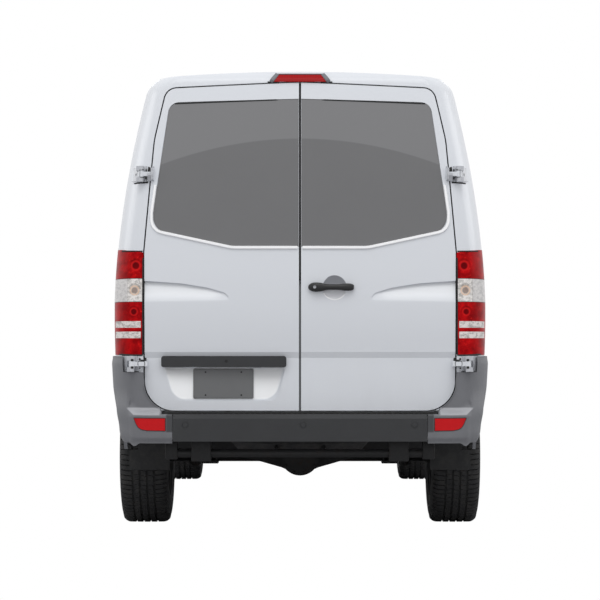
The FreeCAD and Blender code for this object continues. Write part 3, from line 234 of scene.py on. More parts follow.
class Shader(Nodes):
    """A material under construction, around one Principled shader."""

    def __init__(self, name: str) -> None:
        """Starts an empty material with a name."""
        self.material = bpy.data.materials.new(name)
        self.material.use_nodes = True
        super().__init__(self.material.node_tree)
        self.surface = self.tree.nodes["Principled BSDF"]
        self.place = self.node("ShaderNodeTexCoord", output="Object")

    def axis(self, letter: str) -> Signal:
        """One coordinate of the surface point, in metres."""
        return self.node("ShaderNodeSeparateXYZ", None, {0: self.place}, letter)

    def noise(
        self,
        scale: float,
        detail: float = 3,
        roughness: float = 0.5,
        stretch: Point = (1, 1, 1),
    ) -> Signal:
        """Noise on object coordinates.

        Args:
            scale: Cells per metre.
            detail: Octaves.
            roughness: Share of the fine octaves.
            stretch: Scale along each axis.

        Returns:
            Values around 0.5.
        """
        spread = self.node("ShaderNodeMapping", None, {"Vector": self.place, "Scale": stretch})
        inputs = {"Vector": spread, "Scale": scale, "Detail": detail, "Roughness": roughness}
        return self.node("ShaderNodeTexNoise", None, inputs)

    def cells(self, scale: float, stretch: Point = (1, 1, 1), randomness: float = 1.0) -> Signal:
        """Cell pattern on object coordinates, as distance.

        Args:
            scale: Cells per metre.
            stretch: Scale along each axis.
            randomness: 0 for an even grid, 1 for scattered cells.

        Returns:
            The distance to the nearest cell.
        """
        spread = self.node("ShaderNodeMapping", None, {"Vector": self.place, "Scale": stretch})
        inputs = {"Vector": spread, "Scale": scale, "Randomness": randomness}
        return self.node("ShaderNodeTexVoronoi", {"feature": "F1"}, inputs, "Distance")

    def blend(self, share: Any, low: Any, high: Any) -> Signal:
        """Mixes two colours.

        Args:
            share: 0 gives low and 1 gives high.
            low: A colour or a signal.
            high: A colour or a signal.

        Returns:
            The mixed colour.
        """
        made = self.tree.nodes.new("ShaderNodeMix")
        made.data_type = "RGBA"
        for key, value in (("Factor_Float", share), ("A_Color", low), ("B_Color", high)):
            self.give(next(s for s in made.inputs if s.identifier == key), value)
        return Signal(self, next(s for s in made.outputs if s.identifier == "Result_Color"))

    def bump(self, height: Signal, distance: float, strength: float = 1.0) -> None:
        """Feeds a height in metres to the surface's normal."""
        inputs = {"Height": height, "Distance": distance, "Strength": strength}
        self.set("Normal", self.node("ShaderNodeBump", None, inputs))

    def set(self, socket: str, value: Any) -> None:
        """Sets or links one socket of the surface."""
        self.give(self.surface.inputs[socket], value)

    def dress(self, **values: Any) -> bpy.types.Material:
        """Sets several sockets of the surface.

        Args:
            **values: Values or signals, with an underscore for each blank of the socket's name.

        Returns:
            The material.
        """
        for name, value in values.items():
            self.set(name.replace("_", " "), value)
        return self.material


def scaled(colour: Colour, share: float) -> Colour:
    """A colour made lighter or darker."""
    red, green, blue = colour
    return red * share, green * share, blue * share


class Finish(Protocol):
    """Anything that can make a material."""

    def build(self) -> bpy.types.Material:
        """Makes the material."""


@dataclass(frozen=True)
class Paint:
    """Lacquered sheet metal, with faint orange peel, road dust low down and, when pressed, painted light on the
    rear doors' pressings.
    """

    name: str = "body_paint"
    colour: Colour = srgb(218, 221, 226)
    roughness: float = 0.34
    coat: float = 0.22
    dust: float = 0.06
    pressed: bool = False

    def forms(self, s: Shader) -> tuple[Signal, Signal]:
        """The rear doors' soft pressings: how far they face upwards, and how much painted light makes them
        lighter.

        Args:
            s: The paint's shader.

        Returns:
            The tilt, and the share of painted light towards near white.
        """
        height = s.axis("Z")
        across = abs(s.axis("X"))
        top = across.ramp(0.356, 0.372) * 0.033 + across.ramp(0.372, 0.465) * 0.028 + 1.2145
        top = top + across.ramp(0.465, 0.6) * 0.022 + across.ramp(0.6, 0.9) * 0.021
        blade = (top - height).over(0.0, 0.003) * height.ramp(1.202, 1.262) * across.ramp(0.345, 0.45)
        left = -1 * s.axis("X")
        lean = (0.872 - height) * 0.30
        bottom = (0.060 - (height - 0.709)).math("MAXIMUM", 0.0)
        floor = height.under(0.873, 0.002)
        for gap in (left - 0.078 - lean, 0.688 - lean - left):
            beside = (0.060 - gap).math("MAXIMUM", 0.0)
            floor = floor * (0.060 - (beside * beside + bottom * bottom).math("SQRT")).ramp(0.0, 0.010)
        belly = (1 - height.ramp(1.02, 1.20)) * height.over(0.955, 0.006) * across.under(0.80, 0.01)
        return blade * 0.55 + floor * 0.8 - belly * 0.09, blade * 0.45 + floor * 0.9

    def build(self) -> bpy.types.Material:
        """Makes the material.

        Returns:
            The material.
        """
        s = Shader(self.name)
        height = s.axis("Z")
        grime = s.noise(7, 6, 0.6, (1, 1, 0.45)).ramp(0.42, 0.7)
        low = height.under(0.75, 0.42) * grime * self.dust
        flake = s.noise(900, 1, 0.5).ramp(0.35, 0.65) * 0.035
        base = s.blend(flake, self.colour, srgb(240, 243, 248))
        if self.pressed:
            # Painted light: the blade and the plate recess floor are painted lighter, towards near white.
            tilt, lift = self.forms(s)
            base = s.blend(lift, base, srgb(252, 253, 254))
            face = s.node("ShaderNodeNewGeometry", None, None, "Normal")
            up = s.node("ShaderNodeCombineXYZ", None, {"Z": tilt}, "Vector")
            turned = s.node("ShaderNodeVectorMath", {"operation": "ADD"}, {0: face, 1: up}, "Vector")
            even = s.node("ShaderNodeVectorMath", {"operation": "NORMALIZE"}, {0: turned}, "Vector")
            s.set("Normal", even)
        else:
            s.bump(s.noise(260, 2), 0.00012, 0.5)
        return s.dress(
            Base_Color=s.blend(low, base, srgb(126, 118, 106)),
            Roughness=s.noise(60, 3) * 0.07 + low * 0.3 + (self.roughness - 0.035),
            Coat_Weight=self.coat,
            Coat_Roughness=0.06,
        )


class Zone(Enum):
    """Which moulding's zones a plastic has: painted light on a ledge or on a cup's lower half, and the darker
    plastic at the bumper's middle.
    """

    NONE = "none"
    CORNER = "corner"
    CUP = "cup"


@dataclass(frozen=True)
class Plastic:
    """Grained moulded plastic, greyed a little where it weathers."""

    name: str
    colour: Colour
    roughness: float = 0.55
    grain: float = 1500
    relief: float = 0.0003
    fade: float = 0.25
    zone: Zone = Zone.NONE

    def zoned(self, s: Shader, base: Signal) -> Signal:
        """The base colour with one moulding's zones: painted light on a ledge or on a cup's lower half, and the
        darker plastic at the bumper's middle.

        Args:
            s: The plastic's shader.
            base: Its colour without zones.

        Returns:
            The zoned colour.
        """
        height = s.axis("Z")
        across = abs(s.axis("X"))
        if self.zone is Zone.CORNER:
            # Painted light: the ledge that faces upwards is painted a lighter grey.
            low = across.ramp(0.838, 0.882) * 0.036 + 0.6365
            painted_ledge_light = (height - low).over(0.0, 0.003) * height.under(0.672, 0.004)
            painted_ledge_light = painted_ledge_light * across.between(0.704, 0.874, 0.006)
            base = s.blend(painted_ledge_light, base, srgb(166, 167, 171))
            end = across.under(0.6705, 0.004) * height.over(0.552, 0.004)
            return s.blend(end * 0.85, base, srgb(50, 51, 53))
        if self.zone is Zone.CUP:
            # Painted light: the cup's lower half, which faces the light, is painted lighter.
            base = s.blend(height.under(1.279, 0.03), base, srgb(226, 227, 231))
        return base

    def build(self) -> bpy.types.Material:
        """Makes the material.

        Returns:
            The material.
        """
        s = Shader(self.name)
        worn = s.noise(9, 5, 0.6).ramp(0.4, 0.75) * self.fade
        lighter = tuple(min(1.0, c * 1.5 + 0.015) for c in self.colour)
        s.bump(s.cells(self.grain), self.relief, 0.6)
        rough = worn * 0.25 + s.noise(90, 2) * 0.1 + (self.roughness - 0.05)
        return s.dress(Base_Color=self.zoned(s, s.blend(worn, self.colour, lighter)), Roughness=rough)


@dataclass(frozen=True)
class Rubber:
    """Tyre and flap rubber with dust in its low places."""

    name: str
    colour: Colour = srgb(35, 35, 36)
    dust: Colour = srgb(86, 82, 76)
    amount: float = 0.35

    def build(self) -> bpy.types.Material:
        """Makes the material.

        Returns:
            The material.
        """
        s = Shader(self.name)
        share = s.noise(22, 6, 0.65).ramp(0.45, 0.8) * self.amount
        s.bump(s.noise(700, 3), 0.0004, 0.6)
        colour = s.blend(share, self.colour, self.dust)
        return s.dress(Base_Color=colour, Roughness=s.noise(120, 3) * 0.2 + 0.62)


@dataclass(frozen=True)
class Metal:
    """Bare or painted metal of the running gear, with rust or polish by noise."""

    name: str
    colour: Colour
    second: Colour
    metallic: float = 0.8
    roughness: float = 0.45
    share: float = 0.5
    scale: float = 30

    def build(self) -> bpy.types.Material:
        """Makes the material.

        Returns:
            The material.
        """
        s = Shader(self.name)
        patch = s.noise(self.scale, 6, 0.65).ramp(0.62 - 0.2 * self.share, 0.8)
        s.bump(s.noise(self.scale * 12, 3), 0.0004, 0.5)
        rough = s.noise(self.scale * 4, 3) * 0.25 + patch * 0.15 + (self.roughness - 0.12)
        colour = s.blend(patch * self.share, self.colour, self.second)
        return s.dress(Base_Color=colour, Metallic=self.metallic, Roughness=rough)


@dataclass(frozen=True)
class Glass:
    """Window glass: a tint seen flat on, under a clear reflecting face, and a painted reflection that lightens
    it above an arc where band is not 1.
    """

    name: str
    colour: Colour
    alpha: float
    roughness: float = 0.03
    # A band other than 1 is a painted reflection: above an arc the tint is this much lighter.
    band: float = 1.0

    def build(self) -> bpy.types.Material:
        """Makes the material.

        Returns:
            The material.
        """
        s = Shader(self.name)
        film = s.noise(3, 4, 0.6).ramp(0.3, 0.8)
        base = s.blend(film, self.colour, scaled(self.colour, 1.04))
        # Painted reflection: above an arc across the glass the tint is painted lighter.
        if self.band != 1.0:
            across = s.axis("X")
            arc = s.axis("Z") + across * across * 0.264
            base = s.blend(arc.over(2.039, 0.004), base, scaled(self.colour, self.band))
        rough = s.noise(14, 3) * 0.02 + self.roughness
        return s.dress(Base_Color=base, Specular_IOR_Level=0.3, Roughness=rough, Alpha=self.alpha, IOR=1.5)


@dataclass(frozen=True)
class Band:
    """One clear band of the tail lamp: a wide one over the whole lens, or a short one between its sides."""

    low: float
    high: float
    colour: Colour
    wide: bool = False


@dataclass(frozen=True)
class LampBulb:
    """A bulb and bowl seen through the tail lamp's lens, with painted shade in the bowl's upper part."""

    x: float
    z: float
    radius: float
    colour: Colour
    glint: Colour = srgb(214, 34, 34)


RED = srgb(206, 20, 24)
DEEP_RED = srgb(138, 8, 14)


@dataclass(frozen=True)
class TailLens:
    """The tail lamp's lens: stacked red and clear bands with fine facets, bowls and bulbs, with painted shade
    in the bowls and where the lens turns to the side.
    """

    name: str = "tail_lens"
    bands: tuple[Band, ...] = (
        Band(1.207, 1.325, srgb(240, 236, 232), True),
        Band(1.076, 1.109, srgb(232, 226, 222)),
        Band(1.023, 1.056, srgb(232, 226, 222)),
    )
    bulbs: tuple[LampBulb, ...] = (
        LampBulb(0.832, 1.390, 0.040, srgb(92, 8, 14)),
        LampBulb(0.838, 1.265, 0.038, srgb(150, 132, 122), srgb(240, 196, 160)),
        LampBulb(0.842, 1.157, 0.032, srgb(96, 8, 14)),
    )

    def build(self) -> bpy.types.Material:
        """Makes the material.

        Returns:
            The material.
        """
        s = Shader(self.name)
        height = s.axis("Z")
        across = abs(s.axis("X"))
        glow = s.noise(24, 4, 0.6, (1, 0.2, 1)).ramp(0.35, 0.7)
        # Painted shade: past the corner at 0.868 the red is painted darker, where the lens turns to the side.
        colour = s.blend(glow * (1 - across.over(0.868, 0.012) * 0.3), DEEP_RED, RED)
        streak = s.noise(60, 5, 0.7, (1, 0.2, 1)).ramp(0.56, 0.68) * across.under(0.872, 0.012)
        colour = s.blend(streak * 0.55, colour, srgb(250, 46, 36))
        sparkle = s.noise(52, 5, 0.7, (1, 0.2, 1.4)).ramp(0.40, 0.56)
        for band in self.bands:
            mask = height.between(band.low, band.high, 0.0012)
            face = s.blend(sparkle, scaled(band.colour, 0.55), band.colour)
            if band.wide:
                face = s.blend(across.over(0.8765, 0.001) * 0.6, face, srgb(206, 204, 204))
            else:
                mask = mask * across.between(0.806, 0.950, 0.0015)
            colour = s.blend(mask, colour, face)
        for bulb in self.bulbs:
            dx = across - bulb.x
            dz = height - bulb.z
            reach = (dx * dx + dz * dz).math("SQRT")
            ring = reach.between(bulb.radius * 0.46, bulb.radius * 0.68, 0.003)
            core = reach.under(bulb.radius * 0.42, 0.003)
            # Painted shade: each bowl is painted darker towards its top, which its rim shades.
            painted_bowl_shade = (dz * (0.5 / bulb.radius) + 0.5).ramp(0.1, 0.9)
            bowl = reach.under(bulb.radius * 0.95, 0.003) * painted_bowl_shade * 0.4
            colour = s.blend(bowl, colour, scaled(bulb.colour, 0.5))
            colour = s.blend(ring * 0.6, colour, bulb.glint)
            colour = s.blend(core * 0.85, colour, bulb.colour)
        seam = height.between(1.3235, 1.3275, 0.0006) + height.between(1.205, 1.209, 0.0006)
        seam = seam + across.between(0.8745, 0.8765, 0.0006) * height.between(1.209, 1.3235, 0.0006) * 0.5
        s.bump(s.cells(140, (1, 0.3, 1)), 0.0006, 0.35)
        colour = s.blend(seam * 0.7, colour, srgb(52, 8, 10))
        return s.dress(Base_Color=colour, Roughness=0.3, Specular_IOR_Level=0.02)


@dataclass(frozen=True)
class RedLens:
    """A red lens with moulded prisms in rows."""

    name: str
    colour: Colour = RED
    pitch: float = 160

    def build(self) -> bpy.types.Material:
        """Makes the material.

        Returns:
            The material.
        """
        s = Shader(self.name)
        cells = s.cells(self.pitch, stretch=(1, 0.1, 1), randomness=0.0)
        s.bump(cells, 0.0006, 0.3)
        colour = s.blend(cells.ramp(0.1, 0.7), self.colour, scaled(self.colour, 0.55))
        return s.dress(Base_Color=colour, Roughness=s.noise(40, 2) * 0.05 + 0.28, Specular_IOR_Level=0.12)


@dataclass(frozen=True)
class Fabric:
    """Woven seat cloth."""

    name: str
    colour: Colour = srgb(58, 60, 64)
    thread: float = 420

    def build(self) -> bpy.types.Material:
        """Makes the material.

        Returns:
            The material.
        """
        s = Shader(self.name)
        given = {"Vector": s.place, "Scale": self.thread}
        warp, weft = (s.node("ShaderNodeTexWave", {"bands_direction": way}, given) for way in "XZ")
        weave = warp * 0.5 + weft * 0.5
        s.bump(weave, 0.0006, 0.6)
        colour = s.blend(weave, scaled(self.colour, 0.6), self.colour)
        return s.dress(Base_Color=colour, Roughness=s.noise(60, 3) * 0.15 + 0.75)


@dataclass(frozen=True)
class Plywood:
    """Coated plywood with a fine wire print and scuffs."""

    name: str = "load_board_wood"
    colour: Colour = srgb(84, 66, 50)

    def build(self) -> bpy.types.Material:
        """Makes the material.

        Returns:
            The material.
        """
        s = Shader(self.name)
        grain = s.noise(18, 6, 0.62, (9, 0.35, 9)).ramp(0.25, 0.75)
        worn = s.noise(5, 5, 0.65).ramp(0.52, 0.72)
        base = s.blend(grain, scaled(self.colour, 0.62), self.colour)
        s.bump(s.cells(150, (1, 1, 0.02), 0.0), 0.0005, 0.4)
        rough = worn * 0.2 + s.noise(40, 3) * 0.1 + 0.45
        return s.dress(Base_Color=s.blend(worn * 0.5, base, srgb(132, 112, 88)), Roughness=rough)


class Look:
    """A built finish, with the slot of the record that it stands for."""

    def __init__(self, slot: str, finish: Finish) -> None:
        """Builds the finish for a slot."""
        self.slot = slot
        self.material = finish.build()


def placed(name: str, data: Any) -> bpy.types.Object:
    """Makes an object from its data and links it."""
    made = bpy.data.objects.new(name, data)
    bpy.context.collection.objects.link(made)
    return made


def evaluated(item: bpy.types.Object) -> bpy.types.Mesh:
    """The object's mesh with its modifiers."""
    graph = bpy.context.evaluated_depsgraph_get()
    return bpy.data.meshes.new_from_object(item.evaluated_get(graph))


def rearward(x: float, y: float, z: float) -> Matrix:
    """A place whose own Z points to the rear."""
    return Matrix.Translation((x, y, z)) @ Matrix.Rotation(math.pi / 2, 4, "X")


def circle(count: int) -> list[tuple[float, float]]:
    """Cosine and sine of even steps round a circle."""
    return [(math.cos(TAU * i / count), math.sin(TAU * i / count)) for i in range(count)]


@dataclass
class MeshMaker:
    """Gathers vertices and faces in the row frame and turns them into one finished object."""

    vertices: list[Point] = field(default_factory=list)
    faces: list[tuple[int, ...]] = field(default_factory=list)

    def add(self, vertices: Iterable[Point], faces: Iterable[Sequence[int]]) -> None:
        """Adds a part of a mesh.

        Args:
            vertices: Its points.
            faces: Its faces, counted from its own first point.
        """
        start = len(self.vertices)
        self.vertices.extend(tuple(v) for v in vertices)
        self.faces.extend(tuple(start + i for i in face) for face in faces)

    def box(self, x: Sequence[float], y: Sequence[float], z: Sequence[float], edge: float = 0.0) -> None:
        """Adds a block whose edges are cut at 45 degrees.

        Args:
            x: Low and high X.
            y: Low and high Y.
            z: Low and high Z.
            edge: The cut's size.
        """
        work = bmesh.new()
        bmesh.ops.create_cube(work, size=1)
        for vertex in work.verts:
            vertex.co = [(low + high) / 2 + c * (high - low) for c, (low, high) in zip(vertex.co, (x, y, z))]
        if edge:
            bmesh.ops.bevel(work, geom=work.edges[:], offset=edge, segments=2, profile=0.6, affect="EDGES")
        self.take(work)

    def take(self, work: bmesh.types.BMesh) -> None:
        """Adds a bmesh and frees it.

        Args:
            work: The bmesh.
        """
        work.verts.index_update()
        self.add([tuple(v.co) for v in work.verts], [[v.index for v in f.verts] for f in work.faces])
        work.free()

    def copy(self, mesh: bpy.types.Mesh, place: Matrix) -> None:
        """Adds a copy of a mesh at a place."""
        self.add([tuple(place @ v.co) for v in mesh.vertices], [tuple(p.vertices) for p in mesh.polygons])

    def grid(self, rows: Sequence[Sequence[Point]], closed: bool = False) -> None:
        """Adds rows of points with quads between them.

        Args:
            rows: The rows, all of one length.
            closed: Whether each row joins its start.
        """
        size = len(rows[0])
        faces = []
        for row in range(len(rows) - 1):
            for i in range(size if closed else size - 1):
                a, b = row * size + i, row * size + (i + 1) % size
                faces.append((a, b, b + size, a + size))
        self.add([spot for row in rows for spot in row], faces)

    def turned(self, profile: Outline, place: Matrix, steps: int) -> None:
        """Adds a profile turned about its own Z.

        Args:
            profile: Pairs of radius and height, from one end to the other.
            place: Where it goes.
            steps: Sides round.
        """
        rings = []
        vertices: list[Point] = []
        for radius, height in profile:
            spots = circle(steps) if radius >= 1e-6 else [(0, 0)]
            rings.append(range(len(vertices), len(vertices) + len(spots)))
            vertices += [tuple(place @ Vector((radius * a, radius * b, height))) for a, b in spots]
        faces = []
        for low, high in zip(rings, rings[1:]):
            for step in range(steps):
                after = (step + 1) % steps
                round_it = ((low, step), (low, after), (high, after), (high, step))
                face = [ring[i % len(ring)] for ring, i in round_it]
                kept = list(dict.fromkeys(face))
                if len(kept) > 2:
                    faces.append(tuple(kept))
        self.add(vertices, faces)

    def stud(self, hit: Hit | None, profile: Outline, steps: int) -> None:
        """Adds a turned profile that stands on a found point.

        Args:
            hit: The point and normal, or None for nothing.
            profile: Pairs of radius and height.
            steps: Sides round.
        """
        if hit is not None:
            turn = hit[1].to_track_quat("Z", "Y").to_matrix().to_4x4()
            self.turned(profile, Matrix.Translation(hit[0]) @ turn, steps)

    def tube(self, path: Sequence[Point], radius: float, sides: int = 8, closed: bool = False) -> None:
        """Adds a round bead along a path."""
        self.sweep(path, [(radius * a, radius * b) for a, b in circle(sides)], closed)

    def lay(
        self,
        found: Iterable[Hit | None],
        section: Outline,
        closed: bool = False,
        lift: float = 0.0,
    ) -> list[Hit]:
        """Carries a section along points on a skin.

        Args:
            found: The points and normals, or None where there is no skin.
            section: Points across and out, in order round.
            closed: Whether the line joins its start.
            lift: How far off the skin the line runs.

        Returns:
            The points and normals that were used.
        """
        kept = [hit for hit in found if hit is not None]
        if len(kept) > 2:
            self.sweep([spot + normal * lift for spot, normal in kept], section, closed, lambda i: kept[i][1])
        return kept

    def sweep(
        self,
        path: Sequence[Point],
        section: Outline,
        closed: bool = False,
        up: Callable[[int], Vector] | None = None,
    ) -> None:
        """Adds a section carried along a path.

        Args:
            path: The points of the line.
            section: Points across and out, in order round.
            closed: Whether the path joins its start.
            up: The outward direction at a point's number.
        """
        points = [Vector(p) for p in path]
        count = len(points)
        vertices = []
        last = None
        for i, point in enumerate(points):
            before = points[i - 1] if i or closed else point
            after = points[(i + 1) % count] if i < count - 1 or closed else point
            along = (after - before).normalized()
            if up is not None:
                out = up(i)
            elif last is None:
                out = Vector((0, 0, 1)) if abs(along.z) < 0.9 else Vector((1, 0, 0))
            else:
                out = last
            out = (out - along * out.dot(along)).normalized()
            last = out
            across = along.cross(out)
            vertices.extend(tuple(point + across * a + out * b) for a, b in section)
        size = len(section)
        faces = []
        for i in range(count if closed else count - 1):
            after = (i + 1) % count
            for j in range(size):
                k = (j + 1) % size
                faces.append((i * size + j, i * size + k, after * size + k, after * size + j))
        if not closed:
            faces.append(tuple(reversed(range(size))))
            faces.append(tuple((count - 1) * size + j for j in range(size)))
        self.add(vertices, faces)

    def finish(
        self,
        name: str,
        body: str,
        look: Look,
        smooth: float,
        turn_out: bool = True,
    ) -> bpy.types.Object:
        """Makes the object.

        Args:
            name: The piece's name.
            body: The body that it rides on.
            look: Its finish.
            smooth: Edges up to this angle in degrees are shaded smooth.
            turn_out: Whether its normals are worked out again.

        Returns:
            The object.
        """
        mesh = bpy.data.meshes.new(name)
        mesh.from_pydata(self.vertices, [], self.faces)
        work = bmesh.new()
        work.from_mesh(mesh)
        bmesh.ops.remove_doubles(work, verts=work.verts[:], dist=1e-6)
        if turn_out:
            bmesh.ops.recalc_face_normals(work, faces=work.faces[:])
        for face in work.faces:
            face.smooth = True
        work.to_mesh(mesh)
        work.free()
        mesh.set_sharp_from_angle(angle=math.radians(smooth))
        mesh.materials.append(look.material)
        made = placed(name, mesh)
        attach(made, body)
        LOG.info("piece %s: %d faces", name, len(mesh.polygons))
        return made


class Skin:
    """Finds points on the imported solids, so that pieces lie on them."""

    def __init__(self, nodes: dict[str, bpy.types.Object], names: Sequence[str]) -> None:
        """Builds a search tree over some nodes.

        Args:
            nodes: The frame's nodes.
            names: The nodes to search.
        """
        vertices: list[Vector] = []
        faces: list[tuple[int, ...]] = []
        for name in names:
            mesh = nodes[name].data
            start = len(vertices)
            world = nodes[name].matrix_world
            vertices.extend(world @ v.co for v in mesh.vertices)
            faces.extend(tuple(start + i for i in p.vertices) for p in mesh.polygons)
        self.tree = BVHTree.FromPolygons(vertices, faces)

    def hit(self, start: Point, way: Point) -> Hit | None:
        """Where a ray meets the nodes.

        Args:
            start: The ray's start.
            way: Its direction.

        Returns:
            The point and the face's normal turned against the ray, or None.
        """
        spot, normal, _, _ = self.tree.ray_cast(Vector(start), Vector(way).normalized())
        if spot is None:
            return None
        return spot, -normal if normal.dot(Vector(way)) > 0 else normal

    def behind(self, x: float, z: float) -> Hit | None:
        """The point seen from behind the van."""
        return self.hit((x, -3.3, z), (0, 1, 0))

    def ahead(self, x: float, z: float) -> Hit | None:
        """The point seen from in front of the van."""
        return self.hit((x, 3.4, z), (0, -1, 0))

    def beside(self, side: Side) -> Callable[[float, float], Hit | None]:
        """The search from one side of the van, by Y and Z."""
        return lambda y, z: self.hit((side.value * 1.6, y, z), (-side.value, 0, 0))


def rounded_outline(corners: Corners, steps: int) -> list[tuple[float, float]]:
    """An outline whose corners are arcs.

    Args:
        corners: Two coordinates and a radius each, in order round.
        steps: Pieces of each arc.

    Returns:
        The points.
    """
    points: list[tuple[float, float]] = []
    count = len(corners)
    for i, (a, b, radius) in enumerate(corners):
        here = Vector((a, b))
        to_last = (Vector(corners[i - 1][:2]) - here).normalized()
        to_next = (Vector(corners[(i + 1) % count][:2]) - here).normalized()
        half = to_last.angle(to_next, math.pi) / 2
        if radius < 1e-6 or half > math.pi / 2 - 1e-3:
            points.append((a, b))
            continue
        middle = here + (to_last + to_next).normalized() * (radius / math.sin(half))
        start = here + to_last * (radius / math.tan(half)) - middle
        end = here + to_next * (radius / math.tan(half)) - middle
        sweep = math.atan2(start.x * end.y - start.y * end.x, start.dot(end))
        for step in range(steps + 1):
            turn = sweep * step / steps
            cos, sin = math.cos(turn), math.sin(turn)
            spot = middle + Vector((start.x * cos - start.y * sin, start.x * sin + start.y * cos))
            points.append((spot.x, spot.y))
    return points


def spread(points: Outline, step: float, closed: bool = True) -> list[tuple[float, float]]:
    """Adds points to the long runs of a line.

    Args:
        points: The line.
        step: The longest run.
        closed: Whether the line joins its start.

    Returns:
        The line with more points.
    """
    result = []
    ends = [*points[1:], points[0]] if closed else points[1:]
    for (a, b), (c, d) in zip(points, ends):
        parts = max(1, math.ceil(math.hypot(c - a, d - b) / step))
        result.extend((a + (c - a) * i / parts, b + (d - b) * i / parts) for i in range(parts))
    if not closed:
        result.append(points[-1])
    return result


class Finishes:
    """All of the van's finishes, made once."""

    def __init__(self) -> None:
        """Builds every finish."""
        grey, amber = srgb(108, 109, 113), srgb(224, 112, 20)
        self.paint = Look("body_paint", Paint())
        # The rear doors' paint has painted light on the blade and the plate recess.
        self.door_paint = Look("body_paint", Paint("rear_door_paint", pressed=True))
        hinge = Paint("hinge_paint", srgb(186, 188, 193), 0.38, 0.4, 0.3)
        self.hinge_paint = Look("body_paint", hinge)
        # Painted highlight: the window lip and the cup's lower rim are body paint made near white.
        self.lip = Look("body_paint", Paint("lip_paint", srgb(252, 252, 253), 0.3, 0.3, 0.0))
        floor = Paint("floor_paint", srgb(198, 201, 206), 0.45, 0.2, 0.9)
        self.floor_paint = Look("floor_paint", floor)
        self.grey = Look("grey_plastic", Plastic("grey_plastic", grey, 0.5, 1400, 0.00025, 0.2))
        # The corners' plastic has a painted-light ledge and a darker middle.
        corner = Plastic("bumper_corner_grey", grey, 0.5, 1400, 0.00025, 0.2, Zone.CORNER)
        self.corner = Look("grey_plastic", corner)
        # The cup's plastic has painted light on its lower half.
        cup = Plastic("handle_cup_grey", srgb(150, 152, 158), 0.5, 1800, 0.0001, 0.05, Zone.CUP)
        self.cup = Look("grey_plastic", cup)
        bezel = Plastic("bezel_grey", srgb(112, 114, 119), 0.45, 1800, 0.0001, 0.1)
        self.bezel = Look("grey_plastic", bezel)
        self.dark = Look("dark_plastic", Plastic("dark_plastic", srgb(43, 44, 46), 0.5, 1300, 0.00025, 0.15))
        self.black = Look("dark_plastic", Plastic("black_plastic", srgb(30, 30, 31), 0.4, 1600, 0.0002, 0.1))
        self.dash = Look("dark_plastic", Plastic("dash_plastic", srgb(52, 54, 57), 0.62, 900, 0.0005, 0.1))
        self.tank = Look("tank_plastic", Plastic("tank_plastic", srgb(26, 26, 27), 0.6, 300, 0.0008, 0.3))
        self.plate = Look("plate", Plastic("plate_blank", srgb(106, 107, 108), 0.45, 900, 0.0001, 0.15))
        self.tyre = Look("tyre", Rubber("tyre_rubber", srgb(37, 37, 38)))
        self.flap = Look("flap_rubber", Rubber("flap_rubber", srgb(34, 34, 35), srgb(80, 77, 72), 0.3))
        self.seal = Look("flap_rubber", Rubber("seal_rubber", srgb(22, 22, 23), srgb(60, 58, 55), 0.2))
        pale = Rubber("grey_seal", srgb(104, 105, 107), srgb(120, 118, 114), 0.2)
        self.grey_seal = Look("flap_rubber", pale)
        self.tint = Look("tinted_glass", Glass("tinted_glass", srgb(52, 55, 58), 1.0))
        # Painted reflection: the rear windows are 1.3 times lighter above an arc.
        self.rear_glass = Look("tinted_glass", Glass("rear_glass", srgb(112, 112, 113), 1.0, 0.12, 1.30))
        self.clear = Look("cab_glass", Glass("cab_glass", srgb(28, 34, 36), 0.42))
        self.lens = Look("lamp_clear", Glass("lamp_clear", srgb(196, 202, 208), 0.28))
        self.tail_lens = Look("lamp_red", TailLens())
        self.red = Look("lamp_red", RedLens("reflector_red", srgb(224, 30, 36), 170))
        self.brake_red = Look("lamp_red", RedLens("brake_red", srgb(176, 18, 22), 120))
        self.marker = Look("lamp_red", RedLens("marker_amber", amber, 150))
        self.indicator = Look("lamp_clear", RedLens("indicator_amber", amber, 150))
        chassis = Metal("chassis_black", srgb(24, 24, 25), srgb(60, 46, 36), 0.2, 0.6, 0.35, 14)
        cast = Metal("cast_metal", srgb(52, 51, 51), srgb(88, 60, 42), 0.6, 0.62, 0.5, 22)
        exhaust = Metal("exhaust_steel", srgb(104, 98, 92), srgb(96, 66, 44), 0.9, 0.42, 0.45, 16)
        bright = Metal("bright_steel", srgb(176, 178, 182), srgb(128, 126, 122), 1.0, 0.3, 0.3, 60)
        silver = Metal("mirror_silver", srgb(232, 234, 236), srgb(224, 226, 229), 1.0, 0.05, 0.2, 6)
        rim = Metal("rim_paint", srgb(166, 169, 173), srgb(120, 118, 114), 0.55, 0.4, 0.35, 26)
        self.chassis = Look("chassis_black", chassis)
        self.cast = Look("cast", cast)
        self.exhaust = Look("exhaust_steel", exhaust)
        self.bright, self.mirror, self.rim = (Look("rim_paint", metal) for metal in (bright, silver, rim))
        self.fabric = Look("seat_fabric", Fabric("seat_cloth"))
        self.board = Look("board", Plywood())

    def by_slot(self) -> dict[str, bpy.types.Material]:
        """The plain finish of each slot of the record.

        Returns:
            The materials by slot.
        """
        plain = (
            self.paint, self.floor_paint, self.tint, self.clear, self.brake_red, self.lens,
            self.dark, self.grey, self.flap, self.plate, self.fabric, self.board,
            self.chassis, self.cast, self.exhaust, self.tank, self.tyre, self.rim,
        )
        return {look.slot: look.material for look in plain}

    def by_node(self) -> dict[str, bpy.types.Material]:
        """The finishes of nodes that differ from their slot's plain one.

        Returns:
            The materials by node.
        """
        own = {
            "tail_lamps": self.tail_lens,
            "rear_door_left_panel": self.door_paint,
            "rear_door_right_panel": self.door_paint,
            "rear_door_left_glass": self.rear_glass,
            "rear_door_right_glass": self.rear_glass,
            "rear_reflectors": self.red,
            "rear_hinges": self.hinge_paint,
            "rear_door_handle": self.black,
            "dashboard": self.dash,
        }
        return {name: look.material for name, look in own.items()}


